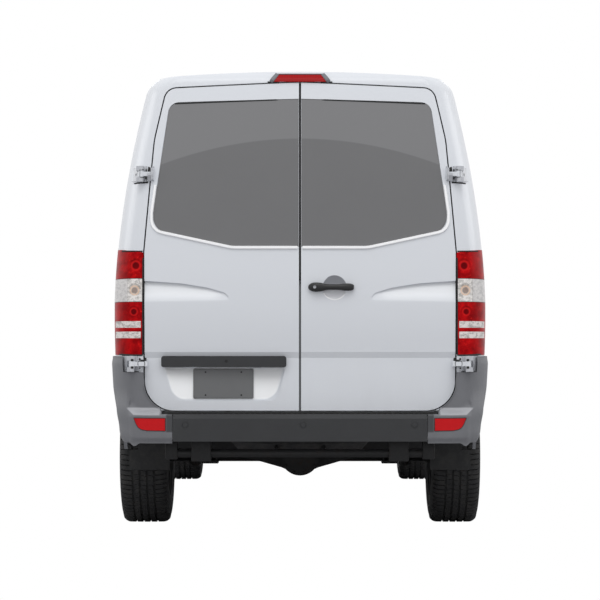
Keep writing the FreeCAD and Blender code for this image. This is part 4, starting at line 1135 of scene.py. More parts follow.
@dataclass
class Studio:
    """The floor, backdrop, lamps and camera."""

    camera_place: Point = (0.0, -13.715, 1.015)
    pitch: float = 1.06
    lens: float = 128.8
    half_floor: float = 30.0
    sky: float = 0.95
    aim: Point = (0, 0, 1.2)

    def camera(self) -> None:
        """Puts the camera where the photograph was taken."""
        data = bpy.data.cameras.new("camera")
        data.sensor_width = 36
        data.lens = self.lens
        data.clip_end = 300
        made = placed("camera", data)
        made.location = self.camera_place
        made.rotation_euler = (math.radians(90 + self.pitch), 0, 0)
        bpy.context.scene.camera = made

    def empty_tree(self, owner: Any) -> Nodes:
        """The emptied node tree of a world or a material.

        Args:
            owner: The world or the material.

        Returns:
            The empty tree.
        """
        owner.use_nodes = True
        owner.node_tree.nodes.clear()
        return Nodes(owner.node_tree)

    def world(self) -> None:
        """A plain pale sky that is white where the camera and transmission rays see it."""
        world = bpy.data.worlds.new("studio_sky")
        bpy.context.scene.world = world
        t = self.empty_tree(world)
        plain = t.node("ShaderNodeBackground", None, {"Color": (0.97, 0.975, 0.985), "Strength": self.sky})
        white = t.node("ShaderNodeBackground", None, {"Color": (1, 1, 1), "Strength": 1})
        seen = t.node("ShaderNodeLightPath", output="Is Camera Ray")
        through = t.node("ShaderNodeLightPath", output="Is Transmission Ray")
        share = seen.math("MAXIMUM", through)
        t.end("ShaderNodeOutputWorld", t.node("ShaderNodeMixShader", None, {0: share, 1: plain, 2: white}))

    def floor(self) -> None:
        """A white floor that keeps the van's shadow."""
        half = self.half_floor
        mesh = bpy.data.meshes.new("floor")
        corners = [(-half, -half, 0), (half, -half, 0), (half, half, 0), (-half, half, 0)]
        mesh.from_pydata(corners, [], [(0, 1, 2, 3)])
        made = placed("floor", mesh)
        material = bpy.data.materials.new("floor_white")
        t = self.empty_tree(material)
        glow = t.node("ShaderNodeEmission", None, {"Color": (1, 1, 1)})
        matt = t.node("ShaderNodeBsdfDiffuse", None, {"Color": (0.42, 0.42, 0.43)})
        seen = t.node("ShaderNodeLightPath", output="Is Camera Ray")
        t.end("ShaderNodeOutputMaterial", t.node("ShaderNodeMixShader", None, {0: seen, 1: matt, 2: glow}))
        mesh.materials.append(material)

    def lamp(self, name: str, place: Point, aim: Point, size: tuple[float, float], watts: float) -> None:
        """Adds one soft lamp.

        Args:
            name: The lamp's name.
            place: Where it hangs.
            aim: What it points at.
            size: Its width and height.
            watts: Its power.
        """
        data = bpy.data.lights.new(name, "AREA")
        data.shape = "RECTANGLE"
        data.size, data.size_y = size
        data.energy = watts
        made = placed(name, data)
        made.location = place
        made.rotation_euler = (Vector(aim) - Vector(place)).to_track_quat("-Z", "Y").to_euler()

    def build(self) -> None:
        """Sets up the whole studio."""
        self.camera()
        self.world()
        self.floor()
        self.lamp("over_back", (0, -8.5, 9.5), (0, -2.6, 1.2), (9, 4), 260)
        self.lamp("fill_left", (-11, 3, 5), self.aim, (7, 4), 120)
        self.lamp("fill_right", (11, 3, 5), self.aim, (7, 4), 120)
        self.lamp("over_front", (0, 10, 7), (0, 2.5, 1.2), (8, 4), 160)
        bpy.context.scene.view_settings.view_transform = "Standard"


def dress_nodes(frame: dict[str, Any], looks: Finishes) -> None:
    """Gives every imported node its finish.

    Args:
        frame: The loaded frame.
        looks: The van's finishes.
    """
    plain, own = looks.by_slot(), looks.by_node()
    slots = {part["node"]: part["material_slot"] for part in frame["record"]["subparts"]}
    for name, item in frame["nodes"].items():
        item.data.materials.clear()
        item.data.materials.append(None)
        item.material_slots[0].link = "OBJECT"
        item.material_slots[0].material = own.get(name, plain[slots[name]])


@dataclass
class Part:
    """A sub-assembly of the scene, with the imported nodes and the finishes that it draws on."""

    nodes: dict[str, bpy.types.Object]
    looks: Finishes

    def skin(self, *names: str) -> Skin:
        """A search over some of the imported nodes."""
        return Skin(self.nodes, names)


class Ring:
    """Copies of one block round an axle, made with Geometry Nodes."""

    INPUTS = {"Block": "Object", "Count": "Int", "Radius": "Float", "Middle": "Vector", "Finish": "Material"}

    def __init__(self) -> None:
        """Builds the node tree, which turns the copies about X through the middle."""
        self.tree = bpy.data.node_groups.new("block_ring", "GeometryNodeTree")
        face = self.tree.interface
        for name, kind in {"Geometry": "Geometry", **self.INPUTS}.items():
            face.new_socket(name, in_out="INPUT", socket_type=f"NodeSocket{kind}")
        face.new_socket("Geometry", in_out="OUTPUT", socket_type="NodeSocketGeometry")
        t = Nodes(self.tree)
        block, count, radius, middle, finish = (t.node("NodeGroupInput", output=name) for name in self.INPUTS)
        points = t.node("GeometryNodeMeshCircle", None, {"Vertices": count, "Radius": radius}, "Mesh")
        turn = t.node("ShaderNodeCombineXYZ", None, {"Z": t.node("GeometryNodeInputIndex") / count * TAU})
        settings = {"transform_space": "ORIGINAL"}
        shape = t.node("GeometryNodeObjectInfo", settings, {"Object": block}, "Geometry")
        inputs = {"Points": points, "Instance": shape, "Rotation": turn}
        copies = t.node("GeometryNodeInstanceOnPoints", None, inputs)
        real = t.node("GeometryNodeRealizeInstances", None, {0: copies})
        inputs = {0: real, "Rotation": (0, math.pi / 2, 0), "Translation": middle}
        across = t.node("GeometryNodeTransform", None, inputs)
        t.end("NodeGroupOutput", t.node("GeometryNodeSetMaterial", None, {0: across, "Material": finish}))

    def add(
        self,
        maker: MeshMaker,
        block: MeshMaker,
        count: int,
        radius: float,
        middle: Point,
        look: Look,
        place: Matrix,
    ) -> None:
        """Adds the copies to a mesh.

        Args:
            maker: Where they are added.
            block: The block, with X across the wheel as its Z and outwards as its X.
            count: How many copies.
            radius: How far out they are.
            middle: The ring's middle.
            look: Their finish.
            place: Where the whole ring goes.
        """
        mesh = bpy.data.meshes.new("block")
        mesh.from_pydata(block.vertices, [], block.faces)
        model = placed("block", mesh)
        carrier = placed("ring", bpy.data.meshes.new("ring"))
        modifier = carrier.modifiers.new("ring", "NODES")
        modifier.node_group = self.tree
        values = dict(zip(self.INPUTS, (model, count, radius, middle, look.material)))
        for item in self.tree.interface.items_tree:
            if item.item_type == "SOCKET" and item.name in values:
                modifier[item.identifier] = values[item.name]
        bpy.context.view_layer.update()
        result = evaluated(carrier)
        maker.copy(result, place)
        bpy.data.objects.remove(carrier)
        bpy.data.objects.remove(model)
        bpy.data.meshes.remove(result)


@dataclass
class Tyres(Part):
    """The four road tyres: a turned carcass and rings of tread blocks."""

    radius: float = 0.380
    width: float = 0.265
    bead_radius: float = 0.212
    groove_depth: float = 0.009
    blocks: int = 84
    grooves: tuple[float, ...] = (-0.058, -0.0195, 0.0195, 0.058)
    groove_width: float = 0.0115
    edge: float = 0.009
    shoulder: float = 0.042
    skews: tuple[float, ...] = (0.004, -0.006, 0.007, 0.006, -0.004)
    sides: int = 96

    def carcass(self) -> list[tuple[float, float]]:
        """The carcass's radius and place across, from one bead over the tread to the other.

        Returns:
            Pairs of radius and place across.
        """
        half = self.width / 2
        bead = ((-0.006, 0.036), (0.004, 0.020), (0.016, 0.014), (0.020, 0.008), (0.050, 0.002), (0.080, 0.0))
        wall = (
            (0.062, 0.0004), (0.058, 0.0024), (0.044, 0.0030), (0.034, 0.0058),
            (0.0275, 0.011), (0.019, 0.020), (0.0125, 0.032),
        )
        side = [(self.bead_radius + out, half - tuck) for out, tuck in bead]
        side += [(self.radius - down, half - tuck) for down, tuck in wall]
        side.append((self.radius - self.groove_depth - 0.0008, half - 0.044))
        return side + [(r, -w) for r, w in reversed(side)]

    def shape(self, across: float) -> float:
        """The tread's radius at a place across, rounded to the shoulders.

        Args:
            across: The place across, from the tyre's middle.

        Returns:
            The radius there.
        """
        edge = abs(across) / (self.width / 2)
        past = max(0.0, abs(across) - (self.width / 2 - self.shoulder))
        drop = self.shoulder - math.sqrt(max(0.0, self.shoulder ** 2 - past ** 2))
        return self.radius - 0.0008 - 0.002 * edge ** 2 - drop

    def tread_block(self, low: float, high: float, length: float, skew: float) -> MeshMaker:
        """One tread block of a rib.

        Args:
            low: Its inner edge across.
            high: Its outer edge across.
            length: Its length round the tyre.
            skew: How far its ends lean.

        Returns:
            The block, with outwards as X, round as Y and across as Z.
        """
        steps = 6 if abs(high) > 0.08 or abs(low) > 0.08 else 2
        half = length / 2
        rows = []
        for i in range(steps + 1):
            w = low + (high - low) * i / steps
            top = self.shape(w) - self.radius
            foot = top - self.groove_depth - 0.002
            lean = skew * (w - low) / (high - low)
            rows.append([(foot, -half - 0.0006 + lean, w), (top, -half + 0.0006 + lean, w),
                         (top, half - 0.0006 + lean, w), (foot, half + 0.0006 + lean, w)])
        block = MeshMaker()
        block.grid(rows)
        last = steps * 4
        block.faces += [(3, 2, 1, 0), (last, last + 1, last + 2, last + 3)]
        return block

    def tyre(self, ring: Ring, name: str, body: str) -> None:
        """Makes one tyre in place of its node.

        Args:
            ring: The ring of blocks.
            name: The tyre's node.
            body: The wheel's body.
        """
        low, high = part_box(name)
        middle = ((low.x + high.x) / 2, (low.y + high.y) / 2, (low.z + high.z) / 2)
        maker = MeshMaker()
        place = Matrix.Translation(middle) @ Matrix.Rotation(math.pi / 2, 4, "Y")
        maker.turned(self.carcass(), place, self.sides)
        last = len(maker.vertices) - self.sides
        for i in range(self.sides):
            j = (i + 1) % self.sides
            maker.faces.append((last + i, last + j, j, i))
        half = self.width / 2 - self.edge
        edges = [-half, *self.grooves, half]
        pitch = TAU * self.radius / self.blocks
        for i, skew in enumerate(self.skews):
            start = edges[i] + (self.groove_width / 2 if i else 0)
            end = edges[i + 1] - (self.groove_width / 2 if i < 4 else 0)
            gap = 0.0052 if i in (0, 4) else 0.0016
            block = self.tread_block(start, end, pitch - gap, skew)
            ring.add(maker, block, self.blocks, self.radius, middle, self.looks.tyre, Matrix())
        made = maker.finish(f"{name}_tread", body, self.looks.tyre, 28)
        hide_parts(name)

    def build(self) -> None:
        """Makes the four tyres."""
        ring = Ring()
        for place in ("rear", "front"):
            for side in Side:
                self.tyre(ring, f"tyre_{place}_{side.word}", f"wheel_{place}_{side.word}")


@dataclass(frozen=True)
class Strip:
    """The section of a strip that is laid on the skin."""

    width: float
    height: float
    sink: float = 0.003

    def section(self) -> Outline:
        """The section as points across and out."""
        half, high = self.width / 2, self.height
        return [(-half, -self.sink), (half, -self.sink), (half, high * 0.5), (half * 0.62, high),
                (-half * 0.62, high), (-half, high * 0.5)]

    def lay(
        self,
        maker: MeshMaker,
        seen: Seen,
        outline: Outline,
        closed: bool = True,
        step: float = 0.03,
    ) -> None:
        """Lays the strip along an outline.

        Args:
            maker: Where the strip is added.
            seen: The search for the skin's points, which says from where the outline is seen.
            outline: X and Z seen from behind or ahead, or Y and Z seen from a side.
            closed: Whether the line joins its start.
            step: The longest run between two points.
        """
        maker.lay([seen(a, b) for a, b in spread(outline, step, closed)], self.section(), closed)


def mirrored(outline: Sequence[tuple[float, ...]], side: Side) -> list[tuple[float, ...]]:
    """An outline drawn for the right-hand side, turned to a side."""
    return [(point[0] * side.value, *point[1:]) for point in outline]


@dataclass
class DoorGlassTrim(Part):
    """Black seals and the pressed lip round the rear windows, whose near-white paint is a painted highlight."""

    lip: Corners = (
        (0.012, 1.4815, 0.0), (0.345, 1.4815, 0.2), (0.752, 1.5695, 0.066),
        (0.7535, 1.66, 0.1), (0.735, 1.80, 0.0),
    )
    top: Outline = ((0.008, 2.2445), (0.64, 2.2225))
    top_seal: Strip = Strip(0.007, 0.0025)
    pressed: Strip = Strip(0.016, 0.009)

    def build(self) -> None:
        """Makes the trim of both doors."""
        for side in Side:
            body = f"rear_door_{side.word}"
            skin = self.skin(f"{body}_panel", f"{body}_glass")
            rubber = MeshMaker()
            self.top_seal.lay(rubber, skin.behind, mirrored(self.top, side), False)
            rubber.finish(f"{body}_glass_seal", body, self.looks.seal, 50)
            press = MeshMaker()
            start = (side.value * self.lip[0][0], self.lip[-1][1])
            lip = rounded_outline([*mirrored(self.lip, side), (*start, 0.0)], 8)
            self.pressed.lay(press, skin.behind, [p for p in lip if p != start], False)
            press.finish(f"{body}_pressed_lip", body, self.looks.lip, 50)


@dataclass
class DoorSeams(Part):
    """Dark gaskets that stand back in the seams round and between the rear doors."""

    outline: Corners = ((0.0, 0.652, 0.0), (0.787, 0.652, 0.15), (0.7925, 0.937, 0.0), (0.7955, 1.457, 0.0),
                        (0.7465, 2.034, 0.4), (0.6995, 2.215, 0.3), (0.6795, 2.303, 0.062), (0.0, 2.334, 0.0))
    depth: float = 0.030
    width: float = 0.030

    def back(self, skin: Skin, x: float, seen_x: float, z: float, depth: float) -> Hit | None:
        """A point that stands back from the skin.

        Args:
            skin: The doors and what surrounds them.
            x: The point's X.
            seen_x: Where the skin is looked for.
            z: Its height.
            depth: How far it stands back.

        Returns:
            The point, facing the rear, or None off the rear face.
        """
        hit = skin.behind(seen_x, z)
        if hit is None or hit[0].y >= -2.55:
            return None
        return Vector((x, hit[0].y + depth, z)), Vector((0, -1, 0))

    def build(self) -> None:
        """Makes the gaskets, of which the outer one stays on the body."""
        doors = [f"rear_door_{side.word}_{part}" for side in Side for part in ("panel", "glass")]
        sides = ("side_panel_left", "side_panel_right")
        van = self.skin(*doors, *sides, "roof_panel", "tail_lamps", "floor_panel")
        maker = MeshMaker()
        section = Strip(self.width, 0.004, 0.008).section()
        for side in Side:
            line = spread(rounded_outline(mirrored(self.outline, side), 8)[1:-1], 0.04, False)
            maker.lay([self.back(van, x, x - side.value * 0.014, z, self.depth) for x, z in line], section)
        heights = [0.660 + 1.665 * i / 50 for i in range(51)]
        parts = (("upper", self.looks.seal, 1.305, 2.4), ("lower", self.looks.grey_seal, 0.6, 1.306))
        for name, look, low, high in parts:
            part = MeshMaker()
            found = [self.back(van, 0, 0.03, z, 0.012) for z in heights if low <= z <= high]
            part.lay(found, Strip(0.016, 0.003, 0.006).section())
            part.finish(f"centre_gasket_{name}", "rear_door_right", look, 50)
        maker.finish("door_gasket", "van", self.looks.seal, 50)


@dataclass
class TailLampTrim(Part):
    """The seal on the inner edge of each tail lamp and at its ends."""

    inner: float = 0.7955
    low: float = 0.940
    high: float = 1.458
    bead: Strip = Strip(0.008, 0.0035)

    def build(self) -> None:
        """Makes the seals of both lamps."""
        maker = MeshMaker()
        skin = self.skin("tail_lamps", "side_panel_left", "side_panel_right")
        for side in Side:
            x = side.value * (self.inner - 0.0005)
            self.bead.lay(maker, skin.behind, [(x, self.low), (x, self.high)], False)
            for z, end in ((self.low - 0.003, 0.012), (self.high + 0.005, 0.02)):
                found = []
                for i in range(14):
                    x = side.value * (self.inner + 0.002 + i * 0.0125)
                    hit = skin.behind(x, z + end * (i / 14) ** 2 * 0.6)
                    found.append(hit if hit is not None and hit[0].y < -2.72 else None)
                maker.lay(found, Strip(0.007, 0.003).section())
        maker.finish("tail_lamp_seals", "van", self.looks.seal, 50)


@dataclass
class BrakeLampTrim(Part):
    """The grey slanted ends of the high brake lamp and the dark line under it."""

    low: float = 2.329
    high: float = 2.374
    inner_low: float = 0.147
    inner_high: float = 0.117
    half_seal: float = 0.165

    def build(self) -> None:
        """Makes the bezel and the seal."""
        seen = self.skin("high_brake_lamp", "roof_panel").behind
        bezel, dark = MeshMaker(), MeshMaker()
        for side in Side:
            line = mirrored([(self.inner_low, self.low + 0.006), (self.inner_high, self.high)], side)
            Strip(0.021, 0.006).lay(bezel, seen, line, False, 0.01)
        top = [(x, self.high) for x in (-self.inner_high, self.inner_high)]
        Strip(0.005, 0.004).lay(bezel, seen, top, False)
        bezel.finish("brake_lamp_bezel", "van", self.looks.bezel, 40)
        under = self.low + 0.0035
        Strip(0.006, 0.005).lay(dark, seen, [(-self.half_seal, under), (self.half_seal, under)], False)
        dark.finish("brake_lamp_seal", "van", self.looks.seal, 40)


@dataclass
class HingeDetails(Part):
    """Cast plates, marks, screws and dark lines of the rear hinges."""

    marks: Sequence[tuple[float, float, float, float]] = (
        (0.846, 0.912, 0.013, 0.012), (0.846, 0.875, 0.013, 0.012),
        (0.839, 1.856, 0.0035, 0.018), (0.8245, 1.856, 0.0045, 0.028), (0.8125, 1.859, 0.0022, 0.040),
        (0.801, 1.8785, 0.022, 0.0022), (0.8045, 1.8385, 0.016, 0.0022), (0.7835, 1.8745, 0.006, 0.017),
        (0.7935, 1.8425, 0.018, 0.0055), (0.7835, 1.8365, 0.007, 0.013),
    )
    screws: Corners = ((0.811, 0.917, 0.0055), (0.811, 0.871, 0.004))
    dark_lines: Sequence[tuple[float, float, float, float]] = (
        (0.788, 0.894, 0.852, 0.006), (0.796, 0.905, 0.9355, 0.005), (0.772, 0.846, 1.8150, 0.009),
    )
    tab: Corners = ((0.783, 0.878, 0.012), (0.817, 0.878, 0.012), (0.817, 0.910, 0.012), (0.783, 0.910, 0.012))
    lift: float = 0.0105
    edge_drop: float = 0.003
    cells: int = 8

    def plate(self, name: str, body: str, node: str, ends: Outline, side: Side) -> bpy.types.Object:
        """Makes one cast plate that lies on the skin.

        Args:
            name: The plate's name.
            body: The body that it rides on.
            node: The node that it lies on.
            ends: Low and high X, then low and high Z.
            side: The side.

        Returns:
            The plate.
        """
        skin = self.skin(node)
        (low, high), (bottom, top) = ends
        count = self.cells
        rows = []
        for j in range(count + 1):
            z = bottom + (top - bottom) * j / count
            row = [skin.behind(side.value * (low + (high - low) * i / count), z) for i in range(count + 1)]
            back = min((hit[0].y for hit in row if hit is not None), default=0.0)
            rows.append([None if hit is None or hit[0].y > back + 0.030 else hit for hit in row])
        first = next(hit for row in rows for hit in row if hit is not None)
        outer = []
        for j, row in enumerate(rows):
            for i in range(count, -1, -1):
                if row[i] is None:
                    near = row[i + 1] if i < count and row[i + 1] is not None else first
                    x = side.value * (low + (high - low) * i / count)
                    row[i] = (Vector((x, near[0].y, near[0].z)), near[1])
            lifts = [self.lift - (self.edge_drop if {i, j} & {0, count} else 0) for i in range(count + 1)]
            outer.append([spot + normal * lift for (spot, normal), lift in zip(row, lifts)])
        inner = [[spot - normal * 0.002 for spot, normal in row] for row in rows]
        edge = [(0, i) for i in range(count)] + [(j, count) for j in range(count)]
        edge += [(count, i) for i in range(count, 0, -1)] + [(j, 0) for j in range(count, -1, -1)]
        maker = MeshMaker()
        maker.grid(outer)
        maker.grid(list(zip(*inner)))
        maker.grid([(outer[j][i], inner[j][i]) for j, i in edge])
        return maker.finish(name, body, self.looks.hinge_paint, 30)

    def build(self) -> None:
        """Makes the details of all four hinges."""
        made = {}
        for side in Side:
            door, panel = f"rear_door_{side.word}", f"side_panel_{side.word}"
            for body, place, node, ends in (
                ("van", "upper", panel, ((0.7795, 0.855), (1.818, 1.899))),
                (door, "upper", f"{door}_panel", ((0.7435, 0.7745), (1.822, 1.896))),
                ("van", "lower", panel, ((0.8225, 0.8975), (0.8555, 0.9325))),
            ):
                name = f"{body}_{place}_hinge_plate_{side.word}"
                made[name] = self.plate(name, body, node, ends, side)
        names = ["rear_hinges", "side_panel_left", "side_panel_right", "tail_lamps", "rear_door_left_panel",
                 "rear_door_right_panel", "bumper_corners", *made]
        skin = Skin({**self.nodes, **made}, names)
        dark, rods = MeshMaker(), MeshMaker()
        for side in Side:
            for x, z, wide, tall in mirrored(self.marks, side):
                hit = skin.behind(x, z)
                if hit is not None:
                    y = hit[0].y
                    across, up = (x - wide / 2, x + wide / 2), (z - tall / 2, z + tall / 2)
                    dark.box(across, (y - 0.0012, y + 0.004), up, 0.0006)
            for x, z, radius in mirrored(self.screws, side):
                profile = [(0, -0.002), (radius, -0.002), (radius, 0.001), (radius * 0.7, 0.0022), (0, 0.0016)]
                rods.stud(skin.behind(x, z), profile, 14)
            for start, end, z, width in self.dark_lines:
                Strip(width, 0.003).lay(dark, skin.behind, mirrored([(start, z), (end, z)], side), False)
            tab = rounded_outline(mirrored(self.tab, side), 4)
            Strip(0.0025, 0.002).lay(dark, skin.behind, tab, step=0.008)
        dark.finish("hinge_marks", "van", self.looks.seal, 30)
        rods.finish("hinge_screws", "van", self.looks.cast, 30)


@dataclass
class HandleCup(Part):
    """The dished cup, the lock and the rounded handle of the rear doors."""

    x: float = 0.174
    z: float = 1.279
    lock_x: float = 0.074
    handle_z: float = 1.2806
    stations: Corners = (
        (0.0414, 0.0008, 0.4), (0.0430, 0.0080, 0.5), (0.0470, 0.0135, 0.62), (0.0550, 0.0190, 0.8),
        (0.0650, 0.0225, 0.95), (0.0760, 0.0238, 1.0), (0.0900, 0.0236, 1.0), (0.1050, 0.0222, 0.98),
        (0.1180, 0.0192, 0.96), (0.1320, 0.0160, 0.96), (0.1500, 0.0148, 1.0), (0.1740, 0.0145, 1.0),
        (0.1980, 0.0148, 1.0), (0.2140, 0.0165, 0.98), (0.2280, 0.0185, 0.96), (0.2420, 0.0190, 0.92),
        (0.2560, 0.0178, 0.85), (0.2660, 0.0150, 0.72), (0.2740, 0.0100, 0.55), (0.2782, 0.0045, 0.45),
        (0.2790, 0.0008, 0.4),
    )

    def handle(self) -> bpy.types.Object:
        """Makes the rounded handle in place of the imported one, from stations of X, half height and depth.

        Returns:
            The handle.
        """
        low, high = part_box("rear_door_handle")
        back, deep = high.y, high.y - low.y - 0.0005
        rows = []
        for x, half, out in self.stations:
            x = max(low.x + 0.0003, min(high.x - 0.0003, x))
            row = []
            for turn in circle(24):
                across, up = (math.copysign(abs(v) ** 0.8, v) for v in turn)
                row.append((x, back - deep * out * (0.5 - 0.5 * across), self.handle_z + half * up))
            rows.append(row)
        maker = MeshMaker()
        maker.grid(rows, True)
        count = len(maker.vertices)
        maker.faces += [tuple(range(24)), tuple(range(count - 24, count))]
        made = maker.finish("rear_handle_grip", "rear_door_right", self.looks.black, 60)
        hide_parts("rear_door_handle")
        return made

    def build(self) -> None:
        """Makes the cup, its lip, the handle and the lock on the right-hand door."""
        body = "rear_door_right"
        skin = self.skin("rear_door_right_panel")
        face = skin.behind(self.x, self.z + 0.066)[0].y
        deep = skin.behind(self.x + 0.02, self.z - 0.035)[0].y - face - 0.0012
        cup, lip, lock = MeshMaker(), MeshMaker(), MeshMaker()
        dish = [(0.0588 * i / 9, -deep * (1 - (i / 9) ** 2) + 0.0002) for i in range(10)]
        rim = [(0.0605, 0.0012), (0.0622, 0.0008), (0.0628, -0.002)]
        cup.turned(dish + rim, rearward(self.x, face, self.z), 56)
        cup.finish("rear_handle_cup", body, self.looks.cup, 50, turn_out=False)
        # Painted highlight: a near-white crescent along the cup's lower rim.
        turns = [math.radians(a) for a in range(208, 334, 7)]
        arc = [(self.x + 0.0615 * math.cos(a), face - 0.001, self.z + 0.0615 * math.sin(a)) for a in turns]
        lip.sweep(arc, Strip(0.006, 0.002, 0.002).section(), False, lambda i: Vector((0, -1, 0)))
        lip.finish("rear_cup_lip", body, self.looks.lip, 50)
        handle_skin = Skin({**self.nodes, "handle": self.handle()}, ["handle", "rear_door_right_panel"])
        z = self.z + 0.002
        y = handle_skin.behind(self.lock_x, z)[0].y
        profile = [(0, 0.002), (0.0022, 0.0022), (0.0028, 0.0008), (0.0062, 0.0012), (0.0074, 0.0022)]
        profile += [(0.0084, 0.0), (0.0084, -0.003)]
        lock.turned(profile, rearward(self.lock_x, y, z), 24)
        lock.finish("rear_lock", body, self.looks.bright, 30)


@dataclass
class PlateFittings(Part):
    """The blank plate's rim and screws, the bar's button and its two lamps."""

    left: float = -0.540
    right: float = -0.235
    low: float = 0.717
    high: float = 0.869
    button: tuple[float, float] = (-0.372, 0.907)
    lamps: tuple[float, float] = (-0.55, -0.225)

    def build(self) -> None:
        """Makes the fittings on the left-hand door."""
        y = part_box("number_plate")[0].y
        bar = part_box("plate_bar")[0]
        dark, lenses, rim = MeshMaker(), MeshMaker(), MeshMaker()
        for x in (self.left + 0.062, self.right - 0.062):
            for z in (self.low + 0.018, self.high - 0.018):
                dark.turned([(0, 0.0008), (0.0042, 0.0008), (0.0046, 0.0)], rearward(x, y, z), 14)
        x, z = self.button
        face = self.skin("plate_bar").behind(x, z)[0].y
        dark.turned([(0, 0.0024), (0.006, 0.002), (0.0075, 0.0)], rearward(x, face, z), 18)
        dark.finish("plate_screws", "rear_door_left", self.looks.seal, 30)
        for x in self.lamps:
            depth, up = (bar.y + 0.008, bar.y + 0.024), (bar.z - 0.003, bar.z + 0.002)
            lenses.box((x - 0.03, x + 0.03), depth, up, 0.001)
        lenses.finish("plate_lamps", "rear_door_left", self.looks.lens, 30)
        xs, zs = (self.left + 0.006, self.right - 0.006), (self.low + 0.006, self.high - 0.006)
        corners = [(xs[0], zs[0], 0.006), (xs[1], zs[0], 0.006), (xs[1], zs[1], 0.006), (xs[0], zs[1], 0.006)]
        path = [(x, y, z) for x, z in rounded_outline(corners, 4)]
        rim.sweep(path, Strip(0.003, 0.001, 0.001).section(), True, lambda i: Vector((0, -1, 0)))
        rim.finish("plate_rim", "rear_door_left", self.looks.plate, 30)


@dataclass
class RearBumperTrim(Part):
    """Parking sensors, the step's grip ribs and the top seal of the rear bumper."""

    sensors: Outline = ((-0.575, 0.590), (0.016, 0.590), (0.575, 0.590))
    radius: float = 0.0175
    half_ribs: float = 0.60
    seal_top: float = 0.6515

    def build(self) -> None:
        """Makes the trim."""
        skin = self.skin("rear_bumper", "bumper_corners", "rear_reflectors")
        rings, ribs, strip = MeshMaker(), MeshMaker(), MeshMaker()
        r = self.radius
        profile = [(0, 0.0013), (r * 0.7, 0.0011), (r * 0.74, 0.0002), (r * 0.8, 0.0002), (r * 0.84, 0.0019),
                   (r, 0.0014), (r * 1.05, -0.001)]
        for x, z in self.sensors:
            rings.stud(skin.behind(x, z), profile, 28)
        rings.finish("parking_sensors", "van", self.looks.dark, 30)
        low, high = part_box("rear_bumper")
        for i in range(46):
            x = -self.half_ribs + i * 2 * self.half_ribs / 45
            depth, up = (low.y + 0.034, low.y + 0.066), (high.z - 0.002, high.z + 0.0016)
            ribs.box((x - 0.005, x + 0.005), depth, up, 0.0008)
        strip.box((-0.70, 0.70), (low.y + 0.062, low.y + 0.086), (high.z - 0.01, self.seal_top), 0.003)
        strip.finish("bumper_top_seal", "van", self.looks.seal, 40)
        ribs.finish("bumper_step_ribs", "van", self.looks.dark, 30)


def shell(sheet: Sequence[Sequence[Vector]], merge: float, thick: float) -> bmesh.types.BMesh:
    """Turns rows of points into a thin closed skin that faces the rear.

    Args:
        sheet: The rows of points.
        merge: Points nearer than this become one.
        thick: The skin's thickness.

    Returns:
        The skin.
    """
    work = bmesh.new()
    grid = [[work.verts.new(spot) for spot in line] for line in sheet]
    for a, b in zip(grid, grid[1:]):
        for j in range(len(a) - 1):
            work.faces.new((a[j], b[j], b[j + 1], a[j + 1]))
    bmesh.ops.remove_doubles(work, verts=work.verts[:], dist=merge)
    flat = [f for f in work.faces if f.calc_area() < 1e-8]
    bmesh.ops.delete(work, geom=flat, context="FACES_ONLY")
    bmesh.ops.recalc_face_normals(work, faces=work.faces[:])
    if sum(f.normal.y * f.calc_area() for f in work.faces) > 0:
        bmesh.ops.reverse_faces(work, faces=work.faces[:])
    bmesh.ops.solidify(work, geom=work.faces[:], thickness=thick)
    return work


@dataclass(frozen=True)
class Ease:
    """A smooth change of some size that begins at a start and is full after a run, which may point down."""

    size: float
    start: float
    run: float

    def at(self, value: float) -> float:
        """How much of the change there is at a value."""
        share = max(0.0, min(1.0, (value - self.start) / self.run))
        return self.size * (share * share * (3 - 2 * share))


@dataclass(frozen=True)
class Column:
    """A column of the bumper corner's skin: where its rays start and how far round it is."""

    start: tuple[float, float]
    way: tuple[float, float]
    share: float
    x: float

    def at(self, deep: float, z: float) -> Vector:
        """The point at a depth along the ray at a height."""
        return Vector((self.start[0] + self.way[0] * deep, self.start[1] + self.way[1] * deep, z))

    def reach(self, skin: Skin, z: float) -> float | None:
        """How deep the skin lies at a height."""
        hit = skin.hit((*self.start, z), (*self.way, 0))
        return None if hit is None else (hit[0] - Vector((*self.start, z))).length


